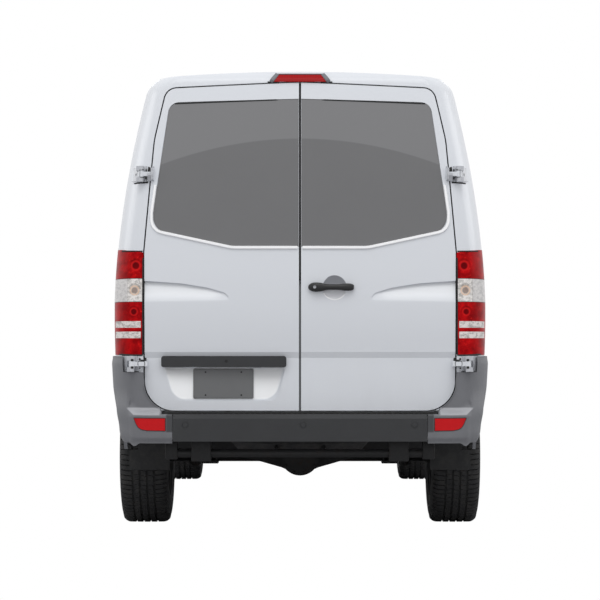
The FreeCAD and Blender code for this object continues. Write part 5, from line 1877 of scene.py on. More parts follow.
@dataclass
class BumperCorners(Part):
    """The bumper's corners and the cladding over them as one smooth skin each, with the reflectors."""

    pivot: tuple[float, float] = (0.86, -2.70)
    ray: float = 0.6
    front: float = -2.0965
    face_z: float = 0.60
    clad_z: float = 0.69
    clad_behind: float = 0.085
    clad_far: float = 0.14
    rounding: Ease = Ease(0.5, 0.79, 0.1)
    outward: Ease = Ease(1.0, 0.80, 0.16)
    draw_in: Ease = Ease(0.029, 0.715, -0.16)
    sole: Ease = Ease(0.012, 0.525, -0.03)
    top_edge: Ease = Ease(0.0055, 0.893, 0.032)
    foot_droop: Ease = Ease(0.016, 0.03, -0.03)
    foot_x: float = 0.835
    foot_radius: float = 0.045
    foot_from: float = 0.568
    foot_run: float = 0.078
    joint_low: tuple[float, float] = (0.6345, -0.045)
    joint_high: tuple[float, float] = (0.668, 0.11)
    centre_end: float = 0.70
    centre_top: float = 0.640
    merge: float = 4e-4
    thick: float = 0.004
    reflector_top: float = 0.6215
    reflector_low: Outline = (
        (0.674, 0.5575), (0.766, 0.5590), (0.795, 0.5640), (0.812, 0.574), (0.824, 0.592), (0.8355, 0.6195),
    )

    def columns(self, side: Side) -> list[Column]:
        """The columns from the middle outwards: across the rear, round the turn and along the side.

        Args:
            side: The side.

        Returns:
            The columns.
        """
        s = side.value
        px, py = self.pivot
        xs = [0.6405, 0.655, 0.67, 0.685] + [0.695 + 0.0055 * i for i in range(19)]
        xs += [0.805 + 0.011 * i for i in range(5)]
        found = [Column((x * s, -3.3), (0, 1), self.rounding.at(x), x) for x in xs]
        for i in range(37):
            turn = math.radians(i * 2.5)
            a, b = math.sin(turn) * s, -math.cos(turn)
            share = max(2 * self.rounding.at(px + 0.1 * turn), 0.5)
            found.append(Column((px * s + a * self.ray, py + b * self.ray), (-a, -b), share, px + turn))
        for i in range(1, 61):
            y = py + (self.front - py) * (1 - (1 - i / 60) ** 1.4)
            found.append(Column(((px + self.ray) * s, y), (-s, 0), 1.0, 3.0))
        return found

    def ends(self, corner: Skin, column: Column) -> list[float]:
        """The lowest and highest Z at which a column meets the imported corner.

        Args:
            corner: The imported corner.
            column: The column.

        Returns:
            The lowest and the highest.
        """

        def meets(z: float) -> bool:
            """Whether the near face is there at a height."""
            deep = column.reach(corner, z)
            return deep is not None and deep < self.ray + 0.02

        middle = self.face_z
        while middle < 0.8 and not meets(middle):
            middle += 0.02
        found = []
        for far in (0.44, 0.96):
            near = middle
            for _ in range(14):
                half = (near + far) / 2
                near, far = (half, far) if meets(half) else (near, half)
            found.append(near)
        return found

    def depths(
        self,
        skin: Skin,
        panel: Skin,
        column: Column,
        rows: Sequence[float],
        last: list[float],
    ) -> list[float]:
        """How far along its ray each row of a column lies.

        Args:
            skin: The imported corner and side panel.
            panel: The side panel alone, which the skin stays outside of.
            column: The column.
            rows: The heights.
            last: The depths of the cladding in the column outside this one.

        Returns:
            The depths, and the cladding's own depths after them.
        """
        face = column.reach(skin, self.face_z) or column.reach(skin, 0.70) or 0.5
        clad: list[float] = []
        for i, z in enumerate(rows):
            deep = column.reach(skin, max(z, self.clad_z))
            if deep is None or deep > face + self.clad_far:
                deep = last[i] if last else face + self.clad_behind
            clad.append(deep + (self.top_edge.at(z) if column.x > self.pivot[0] else 0.0))
        outer = self.outward.at(column.x)
        low, high = (at + more * outer for at, more in (self.joint_low, self.joint_high))
        depth: list[float] = []
        for z, deep in zip(rows, clad):
            lower = min(1.0, max(0.0, (self.foot_from - z) / self.foot_run))
            tuck = self.draw_in.at(z) + self.foot_radius * (1 - math.sqrt(1 - lower * lower))
            body = face + column.share * tuck + (1 - column.share) * self.sole.at(z)
            body += Ease(deep - body, low, high - low).at(z)
            inside = column.reach(panel, z) if column.x > 0.9 else None
            depth.append(body if inside is None or inside > body + 0.2 else min(body, inside - 0.003))
        return depth + clad

    def half(self, side: Side) -> bmesh.types.BMesh:
        """One side's skin as a closed thin mesh.

        Args:
            side: The side.

        Returns:
            The skin, thickened inwards.
        """
        panel_name = f"side_panel_{side.word}"
        corner, panel = self.skin("bumper_corners"), self.skin(panel_name)
        skin = self.skin("bumper_corners", panel_name)
        rows = [0.470 + 0.006 * i for i in range(17)] + [0.572 + 0.010 * i for i in range(6)]
        rows += [0.6265, 0.632, 0.637, 0.642, 0.647, 0.652, 0.657, 0.662, 0.667, 0.673, 0.680]
        rows += [0.69 + 0.0125 * i for i in range(21)]
        sheet: list[list[Vector]] = []
        last: list[float] = []
        for column in reversed(self.columns(side)):
            low, high = self.ends(corner, column)
            if column.x < self.centre_end:
                high = min(high, self.centre_top)
            low -= self.foot_droop.at(abs(column.x - self.foot_x))
            heights = [min(max(z, low), high) for z in rows]
            found = self.depths(skin, panel, column, heights, last)
            last = found[len(rows):]
            line = [column.at(deep, z) for z, deep in zip(heights, found)]
            if column.x < 0.79:
                line.append(Vector((column.start[0], -2.876, heights[-1] + 0.001)))
            else:
                line.append(line[-1] + Vector((*column.way, 0)) * 0.004)
            sheet.append(line)
        return shell(sheet, self.merge, self.thick)

    def reflector(self, skin: Skin, side: Side, glass: MeshMaker, rim: MeshMaker) -> None:
        """One curved reflector on the finished skin.

        Args:
            skin: The finished corner skins.
            side: The side.
            glass: Where the reflector is added.
            rim: Where its dark surround is added.
        """
        top = self.reflector_top
        first, last = self.reflector_low[0][0], self.reflector_low[-1][0]
        sheet = []
        for i in range(33):
            x = first + (last - first) * i / 32
            low = top
            for (ax, az), (bx, bz) in zip(self.reflector_low, self.reflector_low[1:]):
                if ax <= x <= bx + 1e-6:
                    low = az + (bz - az) * (x - ax) / (bx - ax)
            line = [skin.behind(side.value * x, low + (top - low) * j / 6) for j in range(7)]
            sheet.append([spot + normal * 0.0012 for spot, normal in line])
        glass.take(shell(sheet, 1e-5, 0.003))
        outline = mirrored([*self.reflector_low, (last, top), (first, top)], side)
        Strip(0.0042, 0.0016).lay(rim, skin.behind, outline, step=0.008)

    def build(self) -> None:
        """Makes both corners and the reflectors on them."""
        maker, glass, rim = MeshMaker(), MeshMaker(), MeshMaker()
        for side in Side:
            maker.take(self.half(side))
        made = maker.finish("bumper_corner_skins", "van", self.looks.corner, 50)
        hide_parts("bumper_corners")
        skin = Skin({"made": made}, ["made"])
        for side in Side:
            self.reflector(skin, side, glass, rim)
        lens = glass.finish("reflector_lenses", "van", self.looks.red, 40)
        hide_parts("rear_reflectors")
        rim.finish("reflector_surrounds", "van", self.looks.seal, 40)


@dataclass
class WheelDetails(Part):
    """Nuts, hub cap and valve of each wheel."""

    bolts: int = 6
    bolt_circle: float = 0.060
    nut: float = 0.0145
    valve_down: float = 0.172

    def nut_block(self) -> MeshMaker:
        """One wheel nut with outwards along the wheel as its Z."""
        maker = MeshMaker()
        r = self.nut
        top = [(0, 0.004), (r * 0.62, 0.004), (r * 0.7, 0.020), (r * 0.98, 0.017)]
        maker.turned([*top, (r, 0.004), (r * 1.25, 0.003), (r * 1.25, 0.0)], Matrix(), 6)
        return maker

    def wheel(self, ring: Ring, name: str, side: Side) -> None:
        """Makes one wheel's details.

        Args:
            ring: The ring of nuts.
            name: The wheel's place, as its nodes name it.
            side: The side.
        """
        body = f"wheel_{name}"
        low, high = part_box(f"tyre_{name}")
        y, z = (low.y + high.y) / 2, (low.z + high.z) / 2
        seen = self.skin(f"rim_{name}").beside(side)
        face = Matrix.Translation((seen(y + self.bolt_circle, z)[0].x, y, z))
        nuts, cap, valve = MeshMaker(), MeshMaker(), MeshMaker()
        turn = Matrix.Rotation(0 if side is Side.RIGHT else math.pi, 4, "Z")
        bright = self.looks.bright
        ring.add(nuts, self.nut_block(), self.bolts, self.bolt_circle, (0, 0, 0), bright, face @ turn)
        nuts.finish(f"{body}_nuts", body, bright, 30)
        out = face @ Matrix.Rotation(side.value * math.pi / 2, 4, "Y")
        cap.turned([(0, 0.021), (0.020, 0.020), (0.0285, 0.016), (0.031, 0.008), (0.033, 0.0)], out, 32)
        cap.finish(f"{body}_hub_cap", body, self.looks.dark, 40)
        stem = seen(y, z - self.valve_down)[0]
        bend = ((0, 0), (0.016, 0.004), (0.026, 0.011))
        valve.tube([stem + Vector((side.value * across, 0, up)) for across, up in bend], 0.0042, 10)
        valve.finish(f"{body}_valve", body, self.looks.seal, 40)

    def build(self) -> None:
        """Makes the details of the four wheels."""
        ring = Ring()
        for place in ("rear", "front"):
            for side in Side:
                self.wheel(ring, f"{place}_{side.word}", side)


@dataclass
class SideDetails(Part):
    """Door handles, the sliding door's rail, the fuel flap's seam, window seals and side markers."""

    handle_z: float = 1.215
    front_handle: tuple[float, float] = (0.668, 0.80)
    slide_handle: tuple[float, float] = (0.340, 0.470)
    ring: tuple[float, float] = (0.10, 0.042)
    window: Corners = (
        (0.692, 1.489, 0.05), (1.346, 1.489, 0.05), (1.346, 1.835, 0.12),
        (1.130, 2.072, 0.075), (0.692, 2.072, 0.08),
    )
    flap: Corners = ((0.10, 0.95, 0.03), (0.29, 0.95, 0.03), (0.29, 1.13, 0.03), (0.10, 1.13, 0.03))
    flap_catch: tuple[float, float] = (0.275, 1.04)
    rail: tuple[float, float] = (-1.69, -0.80)
    rail_edges: tuple[float, float] = (1.2895, 1.3185)
    markers: tuple[float, float] = (-0.95, 0.42)
    marker_z: float = 0.825

    def pull(self, seen: Seen, ends: tuple[float, float], name: str, body: str) -> None:
        """Makes a pull handle that stands off the skin, in an oval ring.

        Args:
            seen: The search for the door's points by Y and Z.
            ends: Its ends along Y.
            name: The piece's name.
            body: The body that it rides on.
        """
        maker = MeshMaker()
        found = []
        for i in range(15):
            share = i / 14
            spot, normal = seen(ends[0] + (ends[1] - ends[0]) * share, self.handle_z)
            lift = 0.034 * min(1.0, math.sin(math.pi * share) * 2.4) + 0.001
            found.append((spot + normal * lift, normal))
        section = [(-0.014, -0.005), (0.014, -0.005), (0.016, 0.001), (0.012, 0.0055), (-0.012, 0.0055),
                   (-0.016, 0.001)]
        maker.lay(found, section)
        oval = [(sum(ends) / 2 + self.ring[0] * a, self.handle_z + self.ring[1] * b) for a, b in circle(28)]
        Strip(0.008, 0.003).lay(maker, seen, oval, step=0.02)
        maker.finish(name, body, self.looks.black, 45)

    def front_door(self, side: Side) -> None:
        """Makes a front door's handle, lock and window seal.

        Args:
            side: The side.
        """
        body = f"front_door_{side.word}"
        seen = self.skin(f"{body}_panel", f"{body}_glass").beside(side)
        self.pull(seen, self.front_handle, f"{body}_handle", body)
        lock, seal = MeshMaker(), MeshMaker()
        profile = [(0, 0.001), (0.004, 0.001), (0.0045, 0.002), (0.010, 0.0035), (0.012, 0.0)]
        lock.stud(seen(self.front_handle[0] - 0.055, self.handle_z), profile, 24)
        lock.finish(f"{body}_lock", body, self.looks.bright, 30)
        Strip(0.013, 0.004).lay(seal, seen, rounded_outline(self.window, 6))
        seal.finish(f"{body}_window_seal", body, self.looks.seal, 50)

    def build(self) -> None:
        """Makes both sides' details."""
        for side in Side:
            self.front_door(side)
        slide = self.skin("sliding_door").beside(Side.RIGHT)
        self.pull(slide, self.slide_handle, "sliding_door_handle", "van")
        rail, flap, markers = MeshMaker(), MeshMaker(), MeshMaker()
        right = self.skin("side_panel_right").beside(Side.RIGHT)
        for z in self.rail_edges:
            Strip(0.006, 0.004).lay(rail, right, [(y, z) for y in self.rail], False, 0.05)
        rail.finish("sliding_door_rail", "van", self.looks.black, 45)
        left = self.skin("side_panel_left").beside(Side.LEFT)
        Strip(0.005, 0.0012).lay(flap, left, rounded_outline(self.flap, 5), step=0.02)
        flap.stud(left(*self.flap_catch), [(0, 0.001), (0.007, 0.001), (0.009, 0.0)], 18)
        flap.finish("fuel_flap_seam", "van", self.looks.seal, 40)
        for side in Side:
            trim = self.skin("side_trim", f"side_panel_{side.word}").beside(side)
            for y in self.markers:
                hit = trim(y, self.marker_z)
                if hit is not None:
                    depth = sorted(hit[0].x + side.value * out for out in (-0.01, 0.006))
                    up = (self.marker_z - 0.013, self.marker_z + 0.013)
                    markers.box(depth, (y - 0.035, y + 0.035), up, 0.003)
        markers.finish("side_markers", "van", self.looks.marker, 40)


@dataclass
class MirrorGlass(Part):
    """The main and the wide-angle glass of each door mirror."""

    main: Corners = ((1.048, 1.545, 0.02), (1.198, 1.552, 0.03), (1.195, 1.722, 0.045), (1.048, 1.712, 0.035))
    wide: Corners = ((1.046, 1.458, 0.025), (1.200, 1.467, 0.035), (1.199, 1.532, 0.02), (1.047, 1.526, 0.012))
    levels: Outline = ((1.0, 0.002), (1.0, -0.001), (0.97, -0.0025), (0.5, -0.0035))

    def build(self) -> None:
        """Makes both mirrors' glasses."""
        for side in Side:
            body = f"front_door_{side.word}"
            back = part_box(f"{body}_mirror")[0].y
            for name, corners in (("main", self.main), ("wide", self.wide)):
                outline = rounded_outline(mirrored(corners, side), 6)
                count = len(outline)
                middle = Vector([sum(p[k] for p in outline) / count for k in range(2)])
                rows = []
                for share, out in self.levels:
                    spots = [middle + (Vector(p) - middle) * share for p in outline]
                    rows.append([(spot.x, back + out, spot.y) for spot in spots])
                glass = MeshMaker()
                glass.grid(rows, True)
                glass.faces.append(tuple(range(3 * count, 4 * count)))
                glass.finish(f"{body}_mirror_{name}", body, self.looks.mirror, 40)


@dataclass
class FrontDetails(Part):
    """Wipers, the windscreen's dark rim and cowl, headlamp insides, the intake's mesh and fog lamps."""

    screen: Corners = ((-0.805, 1.452, 0.07), (0.805, 1.452, 0.07), (0.712, 2.172, 0.07), (-0.712, 2.172, 0.07))
    wiper_ends: Outline = ((-0.52, 0.08), (0.14, 0.70))
    bowls: Corners = ((0.60, 0.905, 0.062), (0.745, 0.910, 0.052))
    lamp: Corners = ((0.512, 0.824, 0.02), (0.93, 0.824, 0.02), (0.93, 0.982, 0.03), (0.512, 0.982, 0.03))
    bars: tuple[float, ...] = (0.545, 0.575, 0.605, 0.635)
    fog: tuple[float, float] = (0.66, 0.56)
    step: float = 0.04

    def wipers(self, seen: Seen) -> None:
        """Makes the two wipers, each a blade with an arm over its first part.

        Args:
            seen: The search for the windscreen's points by X and Z.
        """
        maker = MeshMaker()
        blade = [(-0.004, -0.010), (0.004, -0.010), (0.010, 0), (0.006, 0.007), (-0.006, 0.007), (-0.010, 0)]
        arm = [(-0.009, -0.004), (0.009, -0.004), (0.007, 0.005), (-0.007, 0.005)]
        for pivot, tip in self.wiper_ends:
            shares = [i / 12 for i in range(13)]
            found = [seen(pivot + (tip - pivot) * t, 1.478 + 0.035 * math.sin(math.pi * t)) for t in shares]
            kept = maker.lay(found, blade, lift=0.010)
            maker.lay(kept[:8], arm, lift=0.026)
            maker.stud(kept[0], [(0, 0.034), (0.012, 0.032), (0.017, 0.024), (0.018, 0.0)], 20)
        maker.finish("wipers", "van", self.looks.black, 40)

    def headlamps(self, seen: Seen) -> None:
        """Makes rings, reflectors and an amber corner on the lamps' faces.

        Args:
            seen: The search for the lamps' points by X and Z.
        """
        chrome, dark, amber = MeshMaker(), MeshMaker(), MeshMaker()
        for side in Side:
            for x, z, r in mirrored(self.bowls, side):
                hit = seen(x, z)
                dark.stud(hit, [(r * 1.02, 0.0002), (r * 1.16, 0.0016), (r * 1.2, -0.002)], 40)
                bowl = [(0, 0.0034), (r * 0.3, 0.003), (r * 0.34, 0.001)]
                chrome.stud(hit, [*bowl, (r * 0.8, 0.0014), (r * 0.96, 0.0032), (r, 0.0)], 40)
            rim = rounded_outline(mirrored(self.lamp, side), 5)
            Strip(0.007, 0.0018).lay(dark, seen, rim, step=self.step)
            line = mirrored([(0.835, 0.835), (0.835, 0.972)], side)
            Strip(0.055, 0.0022).lay(amber, seen, line, False, self.step)
        chrome.finish("headlamp_bowls", "van", self.looks.mirror, 40)
        dark.finish("headlamp_bezels", "van", self.looks.black, 40)
        amber.finish("headlamp_indicators", "van", self.looks.indicator, 40)

    def intake(self) -> None:
        """Makes the mesh in the lower intake."""
        black = MeshMaker()
        for z in self.bars:
            half = 0.41 + (z - 0.52) * 0.34
            for i in range(25):
                x = -half + 2 * half * i / 24
                black.box((x - 0.003, x + 0.003), (2.70, 2.715), (z - 0.013, z + 0.013))
            black.box((-half, half), (2.702, 2.722), (z - 0.004, z + 0.004), 0.001)
        black.finish("intake_mesh", "van", self.looks.black, 30)

    def build(self) -> None:
        """Makes the front's details."""
        seen = self.skin("cab_frame", "cab_windows", "hood").ahead
        seal, cowl, fog, ring = (MeshMaker() for _ in range(4))
        Strip(0.05, 0.004).lay(seal, seen, rounded_outline(self.screen, 8), step=self.step)
        seal.finish("screen_frit", "van", self.looks.seal, 50)
        Strip(0.055, 0.004).lay(cowl, seen, [(-0.77, 1.412), (0.77, 1.412)], False, self.step)
        cowl.finish("screen_cowl", "van", self.looks.dark, 50)
        self.wipers(seen)
        self.headlamps(self.skin("headlamps").ahead)
        self.intake()
        nose = self.skin("front_bumper", "grille").ahead
        for side in Side:
            hit = nose(side.value * self.fog[0], self.fog[1])
            fog.stud(hit, [(0, 0.002), (0.036, 0.001), (0.042, 0.0)], 32)
            ring.stud(hit, [(0.042, 0.0), (0.050, 0.004), (0.060, 0.003), (0.062, -0.002)], 32)
        fog.finish("fog_lamps", "van", self.looks.lens, 40)
        ring.finish("fog_lamp_rings", "van", self.looks.black, 40)


@dataclass
class SeatPads(Part):
    """The two cab seats: padded cushions, backs and head rests on moulded bases."""

    x: tuple[float, float] = (0.275, 0.745)
    voxel: float = 0.013
    cap: float = 0.020
    pressure: float = 4.0
    frames: int = 16
    fill: float = 0.75

    def form(self, width: float, length: float, thick: float, crown: float) -> bpy.types.Mesh:
        """A closed cushion whose sides pull in between its corners.

        Args:
            width: Its size along X.
            length: Its size along Y.
            thick: Its height at the rim.
            crown: How far its middle stands above the rim.

        Returns:
            The mesh, standing on Z = 0.
        """
        count = 14
        size = 4 * count
        rows = []
        for level, share in ((0.0, 0.93), (0.25, 1.0), (0.75, 1.0), (1.0, 0.93)):
            ring = []
            for i in range(size):
                edge, at = divmod(i, count)
                t = 2 * at / count - 1
                pull = 1 - 0.035 * (1 - t * t)
                a, b = ((t, -pull), (pull, t), (-t, pull), (-pull, -t))[edge]
                reach = (abs(a) ** 6 + abs(b) ** 6) ** (1 / 6)
                x, y = a / reach * width / 2 * share, b / reach * length / 2 * share
                ring.append(Vector((x, y, thick * level)))
            rows.append(ring)
        rim = rows[-1]
        for share in (0.8, 0.6, 0.4, 0.2):
            rows.append([Vector((v.x * share, v.y * share, thick + crown * (1 - share ** 2))) for v in rim])
        maker = MeshMaker()
        maker.grid(rows, True)
        last, top = 7 * size, 8 * size
        maker.vertices += [(0, 0, thick + crown), (0, 0, 0)]
        maker.faces += [(last + i, last + (i + 1) % size, top) for i in range(size)]
        maker.faces += [((i + 1) % size, i, top + 1) for i in range(size)]
        mesh = bpy.data.meshes.new("pad_form")
        mesh.from_pydata(maker.vertices, [], maker.faces)
        return mesh

    def swollen(self, made: bpy.types.Object) -> bpy.types.Mesh:
        """A cushion's mesh after a short cloth simulation with pressure inside.

        Args:
            made: The cushion's object.

        Returns:
            The swollen mesh.
        """
        flat = made.data
        held = made.vertex_groups.new(name="held")
        held.add([v.index for v in flat.vertices if v.co.z < 0.012], 1.0, "REPLACE")
        cloth = made.modifiers.new("cloth", "CLOTH")
        cloth.settings.use_pressure = True
        cloth.settings.uniform_pressure_force = self.pressure
        cloth.settings.effector_weights.gravity = 0
        cloth.settings.vertex_group_mass = "held"
        cloth.settings.quality = 4
        for frame in range(1, self.frames + 1):
            bpy.context.scene.frame_set(frame)
        result = evaluated(made)
        for old, new in zip(flat.vertices, result.vertices):
            move = new.co - old.co
            if move.length > self.cap:
                new.co = old.co + move.normalized() * self.cap
        made.modifiers.clear()
        return result

    def puffed(self, width: float, length: float, thick: float, crown: float) -> bpy.types.Mesh:
        """A soft cushion of some size, swollen by a short cloth simulation.

        Args:
            width: Its size along X.
            length: Its size along Y.
            thick: Its height at the rim.
            crown: How far its middle stands above the rim.

        Returns:
            The mesh.
        """
        made = placed("pad_work", self.form(width, length, thick, crown))
        remesh = made.modifiers.new("remesh", "REMESH")
        remesh.mode = "VOXEL"
        remesh.voxel_size = self.voxel
        fine = evaluated(made)
        made.modifiers.clear()
        made.data = fine
        made.data = self.swollen(made)
        bpy.context.scene.frame_set(1)
        smooth = made.modifiers.new("smooth", "SMOOTH")
        smooth.factor = 0.5
        smooth.iterations = 4
        result = evaluated(made)
        bpy.data.objects.remove(made)
        return result

    def base(self, side: Side, middle: float, foot: float) -> None:
        """Makes a seat's moulded base, back shell and rods.

        Args:
            side: The side.
            middle: The seat's middle along X.
            foot: The floor's height.
        """
        maker = MeshMaker()
        half = (self.x[1] - self.x[0]) / 2

        def span(inset: float) -> tuple[float, float]:
            """The seat's sides, drawn in by an inset."""
            return middle - half + inset, middle + half - inset

        maker.box(span(0.03), (0.76, 1.17), (foot + 0.002, 0.885), 0.015)
        for y in (0.80, 1.12):
            maker.box(span(0.02), (y - 0.02, y + 0.02), (foot, foot + 0.03), 0.004)
        for x in (middle - 0.06, middle + 0.06):
            maker.tube([(x, 0.64, 1.52), (x, 0.625, 1.60)], 0.007, 10)
        maker.box(span(0.05), (0.655, 0.688), (0.96, 1.50), 0.012)
        x = span(0.035)[0]
        maker.tube([(x, 0.70, 0.90), (x, 0.70, 1.02)], 0.02, 14)
        made = maker.finish(f"seat_{side.word}_base", "van", self.looks.dash, 40)
        if side is Side.LEFT:
            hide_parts("seats")

    def build(self) -> None:
        """Makes both seats."""
        width = self.x[1] - self.x[0]
        tilt = Matrix.Rotation(math.radians(-3), 4, "X")
        lean = Matrix.Rotation(math.pi, 4, "Z") @ Matrix.Rotation(math.radians(82), 4, "X")
        pads = (
            ("cushion", self.puffed(width - 0.03, 0.43, 0.085, 0.018), (0.985, 0.893), tilt),
            ("back", self.puffed(width - 0.05, 0.56, 0.075, 0.014), (0.672, 1.275), lean),
            ("head", self.puffed(0.25, 0.13, 0.065, 0.012), (0.618, 1.615), lean),
        )
        for side in Side:
            middle = side.value * (self.x[0] + self.x[1]) / 2
            for name, mesh, spot, turn in pads:
                maker = MeshMaker()
                maker.copy(mesh, Matrix.Translation((middle, *spot)) @ turn)
                maker.finish(f"seat_{side.word}_{name}", "van", self.looks.fabric, 60)
            self.base(side, middle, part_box("seats")[0].z)


@dataclass
class CabDetails(Part):
    """The steering wheel and what is set into the dashboard."""

    middle: Point = (-0.51, 1.375, 1.19)
    radius: float = 0.19
    lean: float = 62
    vents: tuple[float, ...] = (-0.74, -0.22, 0.0, 0.74)
    vent_z: float = 1.188
    knobs: tuple[float, ...] = (-0.06, 0.0, 0.06)
    knob_z: float = 1.02

    def steering_wheel(self) -> None:
        """Makes the rim, its three spokes and the hub."""
        place = Matrix.Translation(self.middle) @ Matrix.Rotation(math.radians(self.lean), 4, "X")
        wheel = MeshMaker()
        out = (place.to_3x3() @ Vector((0, 0, 1))).normalized()
        ring = [place @ Vector((self.radius * a, self.radius * b, 0)) for a, b in circle(48)]
        wheel.sweep(ring, [(0.0135 * a, 0.0155 * b) for a, b in circle(12)], True, lambda i: out)
        spoke = [(-0.016, -0.006), (0.016, -0.006), (0.012, 0.007), (-0.012, 0.007)]
        for turn in (-0.35, math.pi + 0.35, -math.pi / 2):
            end = Vector((self.radius * math.cos(turn), self.radius * math.sin(turn), 0))
            path = [place @ (end * s + Vector((0, 0, -0.02 * (1 - s)))) for s in (0.2, 0.5, 0.8, 0.98)]
            wheel.sweep(path, spoke, False, lambda i: out)
        hub = [(0, 0.016), (0.05, 0.012), (0.066, -0.004), (0.06, -0.04), (0.03, -0.06)]
        wheel.turned([*hub, (0.03, -0.16), (0, -0.16)], place, 36)
        wheel.finish("steering_wheel", "van", self.looks.black, 45)

    def build(self) -> None:
        """Makes the cab's details."""
        self.steering_wheel()
        skin = self.skin("dashboard")
        maker = MeshMaker()
        for x in self.vents:
            y = skin.hit((x, 0.9, 1.215), (0, 1, 0))[0].y
            for i in range(6):
                z = self.vent_z + i * 0.011
                maker.box((x - 0.055, x + 0.055), (y - 0.006, y + 0.004), (z, z + 0.005), 0.001)
            for z in (1.178, 1.254):
                maker.box((x - 0.062, x + 0.062), (y - 0.008, y + 0.002), (z, z + 0.005), 0.002)
        y = skin.hit((0.0, 0.9, 1.10), (0, 1, 0))[0].y
        maker.box((-0.10, 0.10), (y - 0.008, y + 0.01), (1.05, 1.165), 0.006)
        knob = [(0, 0.02), (0.013, 0.019), (0.016, 0.012), (0.018, 0.0)]
        for x in self.knobs:
            maker.turned(knob, rearward(x, y - 0.004, self.knob_z), 24)
        maker.finish("dash_vents", "van", self.looks.black, 40)


@dataclass
class DoorInsides(Part):
    """Trim boards on the inside of the rear doors."""

    lower: Corners = ((0.08, 0.74, 0.05), (0.68, 0.76, 0.07), (0.70, 1.08, 0.05), (0.08, 1.08, 0.03))
    upper: Corners = ((0.08, 1.14, 0.03), (0.70, 1.14, 0.05), (0.70, 1.40, 0.05), (0.08, 1.36, 0.03))

    def build(self) -> None:
        """Makes the inner trim of both doors."""
        for side in Side:
            body = f"rear_door_{side.word}"
            skin = self.skin(f"{body}_panel")
            trim = MeshMaker()
            for corners in (self.lower, self.upper):
                outline = spread(rounded_outline(mirrored(corners, side), 5), 0.05)
                found = [skin.hit((x, -2.2, z), (0, -1, 0)) for x, z in outline]
                kept = trim.lay(found, Strip(0.026, 0.007).section(), True)
                face = [spot + normal * 0.004 for spot, normal in kept]
                count = len(face)
                middle = sum(face, Vector((0, 0, 0))) / count
                spot, normal = skin.hit((middle.x, -2.2, middle.z), (0, -1, 0))
                fan = [(i, (i + 1) % count, count) for i in range(count)]
                trim.add([*face, spot + normal * 0.005], fan)
            trim.finish(f"{body}_inner_trim", body, self.looks.dash, 40)


@dataclass
class LoadSpace(Part):
    """Pressed ribs on the load space's walls and tie-down rings on its floor."""

    ribs: tuple[float, ...] = (-2.45, -1.15, -0.45, 0.25)
    opening: tuple[float, float] = (-0.79, 0.56)
    rings: tuple[float, ...] = (-2.6, -1.2, -0.5, 0.3)
    ring_x: float = 0.60
    ring_radius: float = 0.024

    def build(self) -> None:
        """Makes the ribs, of which none crosses the sliding door, and the rings."""
        ribs, rings = MeshMaker(), MeshMaker()
        for side in Side:
            skin = self.skin(f"side_panel_{side.word}", "sliding_door", "wheel_housings", "roof_panel")
            for y in self.ribs:
                if side is Side.RIGHT and self.opening[0] < y < self.opening[1]:
                    continue
                found = [skin.hit((0.0, y, 0.80 + 1.4 * i / 24), (side.value, 0, 0)) for i in range(25)]
                wall = [hit for hit in found if hit is not None and abs(hit[0].x) > 0.6]
                ribs.lay(wall, Strip(0.07, 0.028).section())
        ribs.finish("load_space_ribs", "van", self.looks.floor_paint, 40)
        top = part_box("load_board")[1].z
        for side in Side:
            x = side.value * self.ring_x
            for y in self.rings:
                r = self.ring_radius
                loop = [(x, y + r * a, top + 0.006 + r * (1 + b) * 0.9) for a, b in circle(24)]
                rings.tube(loop, 0.004, 8, True)
                rings.box((x - 0.02, x + 0.02), (y - 0.02, y + 0.02), (top - 0.001, top + 0.007), 0.002)
        rings.finish("tie_down_rings", "van", self.looks.cast, 40)


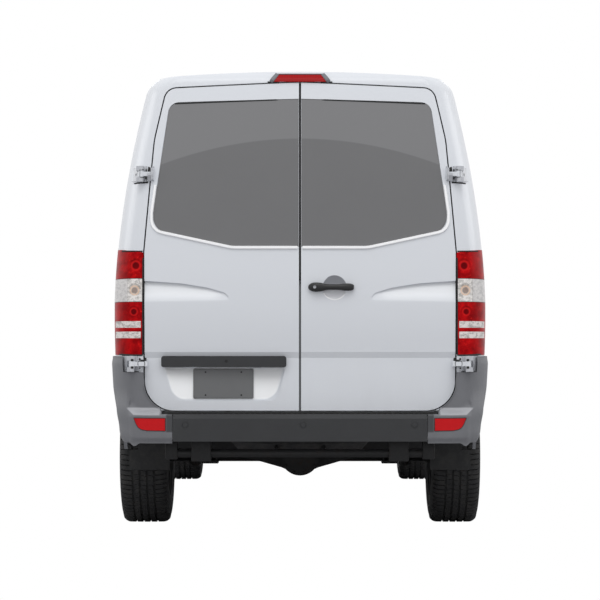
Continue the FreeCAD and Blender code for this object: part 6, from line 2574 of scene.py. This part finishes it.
@dataclass
class Underbody(Part):
    """Dampers, brake lines, bolts and the spare wheel's carrier, under the rear of the van."""

    damper: Corners = ((0.575, -1.86, 0.345), (0.56, -2.02, 0.46))
    rod: Corners = ((0.56, -2.02, 0.46), (0.535, -2.24, 0.62))
    eye: Corners = ((0.545, -1.86, 0.345), (0.605, -1.86, 0.345))
    line: Corners = ((0.62, -1.76, 0.40), (0.45, -1.775, 0.44), (0.16, -1.79, 0.455), (0, -1.80, 0.46))
    cover: Point = (0, -1.846, 0.372)
    cover_bolts: int = 10
    bolt_circle: float = 0.094

    def axle(self) -> None:
        """Makes the dampers, the brake lines and the axle's cover."""
        parts = MeshMaker()
        for side in Side:
            parts.tube(mirrored(self.damper, side), 0.030, 18)
            parts.tube(mirrored(self.rod, side), 0.022, 16)
            parts.tube(mirrored(self.eye, side), 0.016, 12)
            parts.tube(mirrored(self.line, side), 0.005, 8)
        cover = rearward(*self.cover)
        bolt = [(0, 0.008), (0.006, 0.008), (0.008, 0.002), (0.011, 0.001), (0.011, -0.004)]
        for a, b in circle(self.cover_bolts):
            spot = Matrix.Translation((self.bolt_circle * a, self.bolt_circle * b, 0))
            parts.turned(bolt, cover @ spot, 6)
        parts.turned([(0, 0.016), (0.03, 0.014), (0.06, 0.006), (0.085, 0.0)], cover, 36)
        parts.finish("rear_axle_details", "van", self.looks.cast, 40)

    def build(self) -> None:
        """Makes the underbody's details."""
        self.axle()
        carrier = MeshMaker()
        for x in (-0.12, 0.12):
            carrier.tube([(x, -2.79, 0.47), (x, -2.70, 0.425), (x, -2.20, 0.425), (x, -2.09, 0.47)], 0.011, 10)
        for y in (-2.62, -2.28):
            carrier.tube([(-0.12, y, 0.425), (0.12, y, 0.425)], 0.011, 10)
        carrier.tube([(-0.62, -2.83, 0.44), (0.62, -2.83, 0.44)], 0.021, 16)
        blocks = (
            ((0.45, 0.55), (-2.86, -2.80), (0.40, 0.52), 0.006),
            ((0.62, 0.68), (-2.85, -2.78), (0.41, 0.50), 0.006),
            ((0.5, 0.69), (-2.32, -2.30), (0.44, 0.62), 0.004),
        )
        for side in Side:
            for across, along, up, edge in blocks:
                carrier.box(sorted(side.value * x for x in across), along, up, edge)
        carrier.box((-0.66, 0.66), (-2.02, -2.0), (0.42, 0.60), 0.004)
        carrier.finish("spare_carrier", "van", self.looks.chassis, 40)


def main() -> None:
    """Dresses the van."""
    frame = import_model()
    looks = Finishes()
    Studio().build()
    dress_nodes(frame, looks)
    for kind in (
        Tyres,
        DoorGlassTrim,
        DoorSeams,
        TailLampTrim,
        BrakeLampTrim,
        HingeDetails,
        HandleCup,
        PlateFittings,
        BumperCorners,
        RearBumperTrim,
        WheelDetails,
        SideDetails,
        MirrorGlass,
        FrontDetails,
        SeatPads,
        CabDetails,
        DoorInsides,
        LoadSpace,
        Underbody,
    ):
        kind(frame["nodes"], looks).build()
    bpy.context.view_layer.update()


if __name__ == "__main__":
    main()
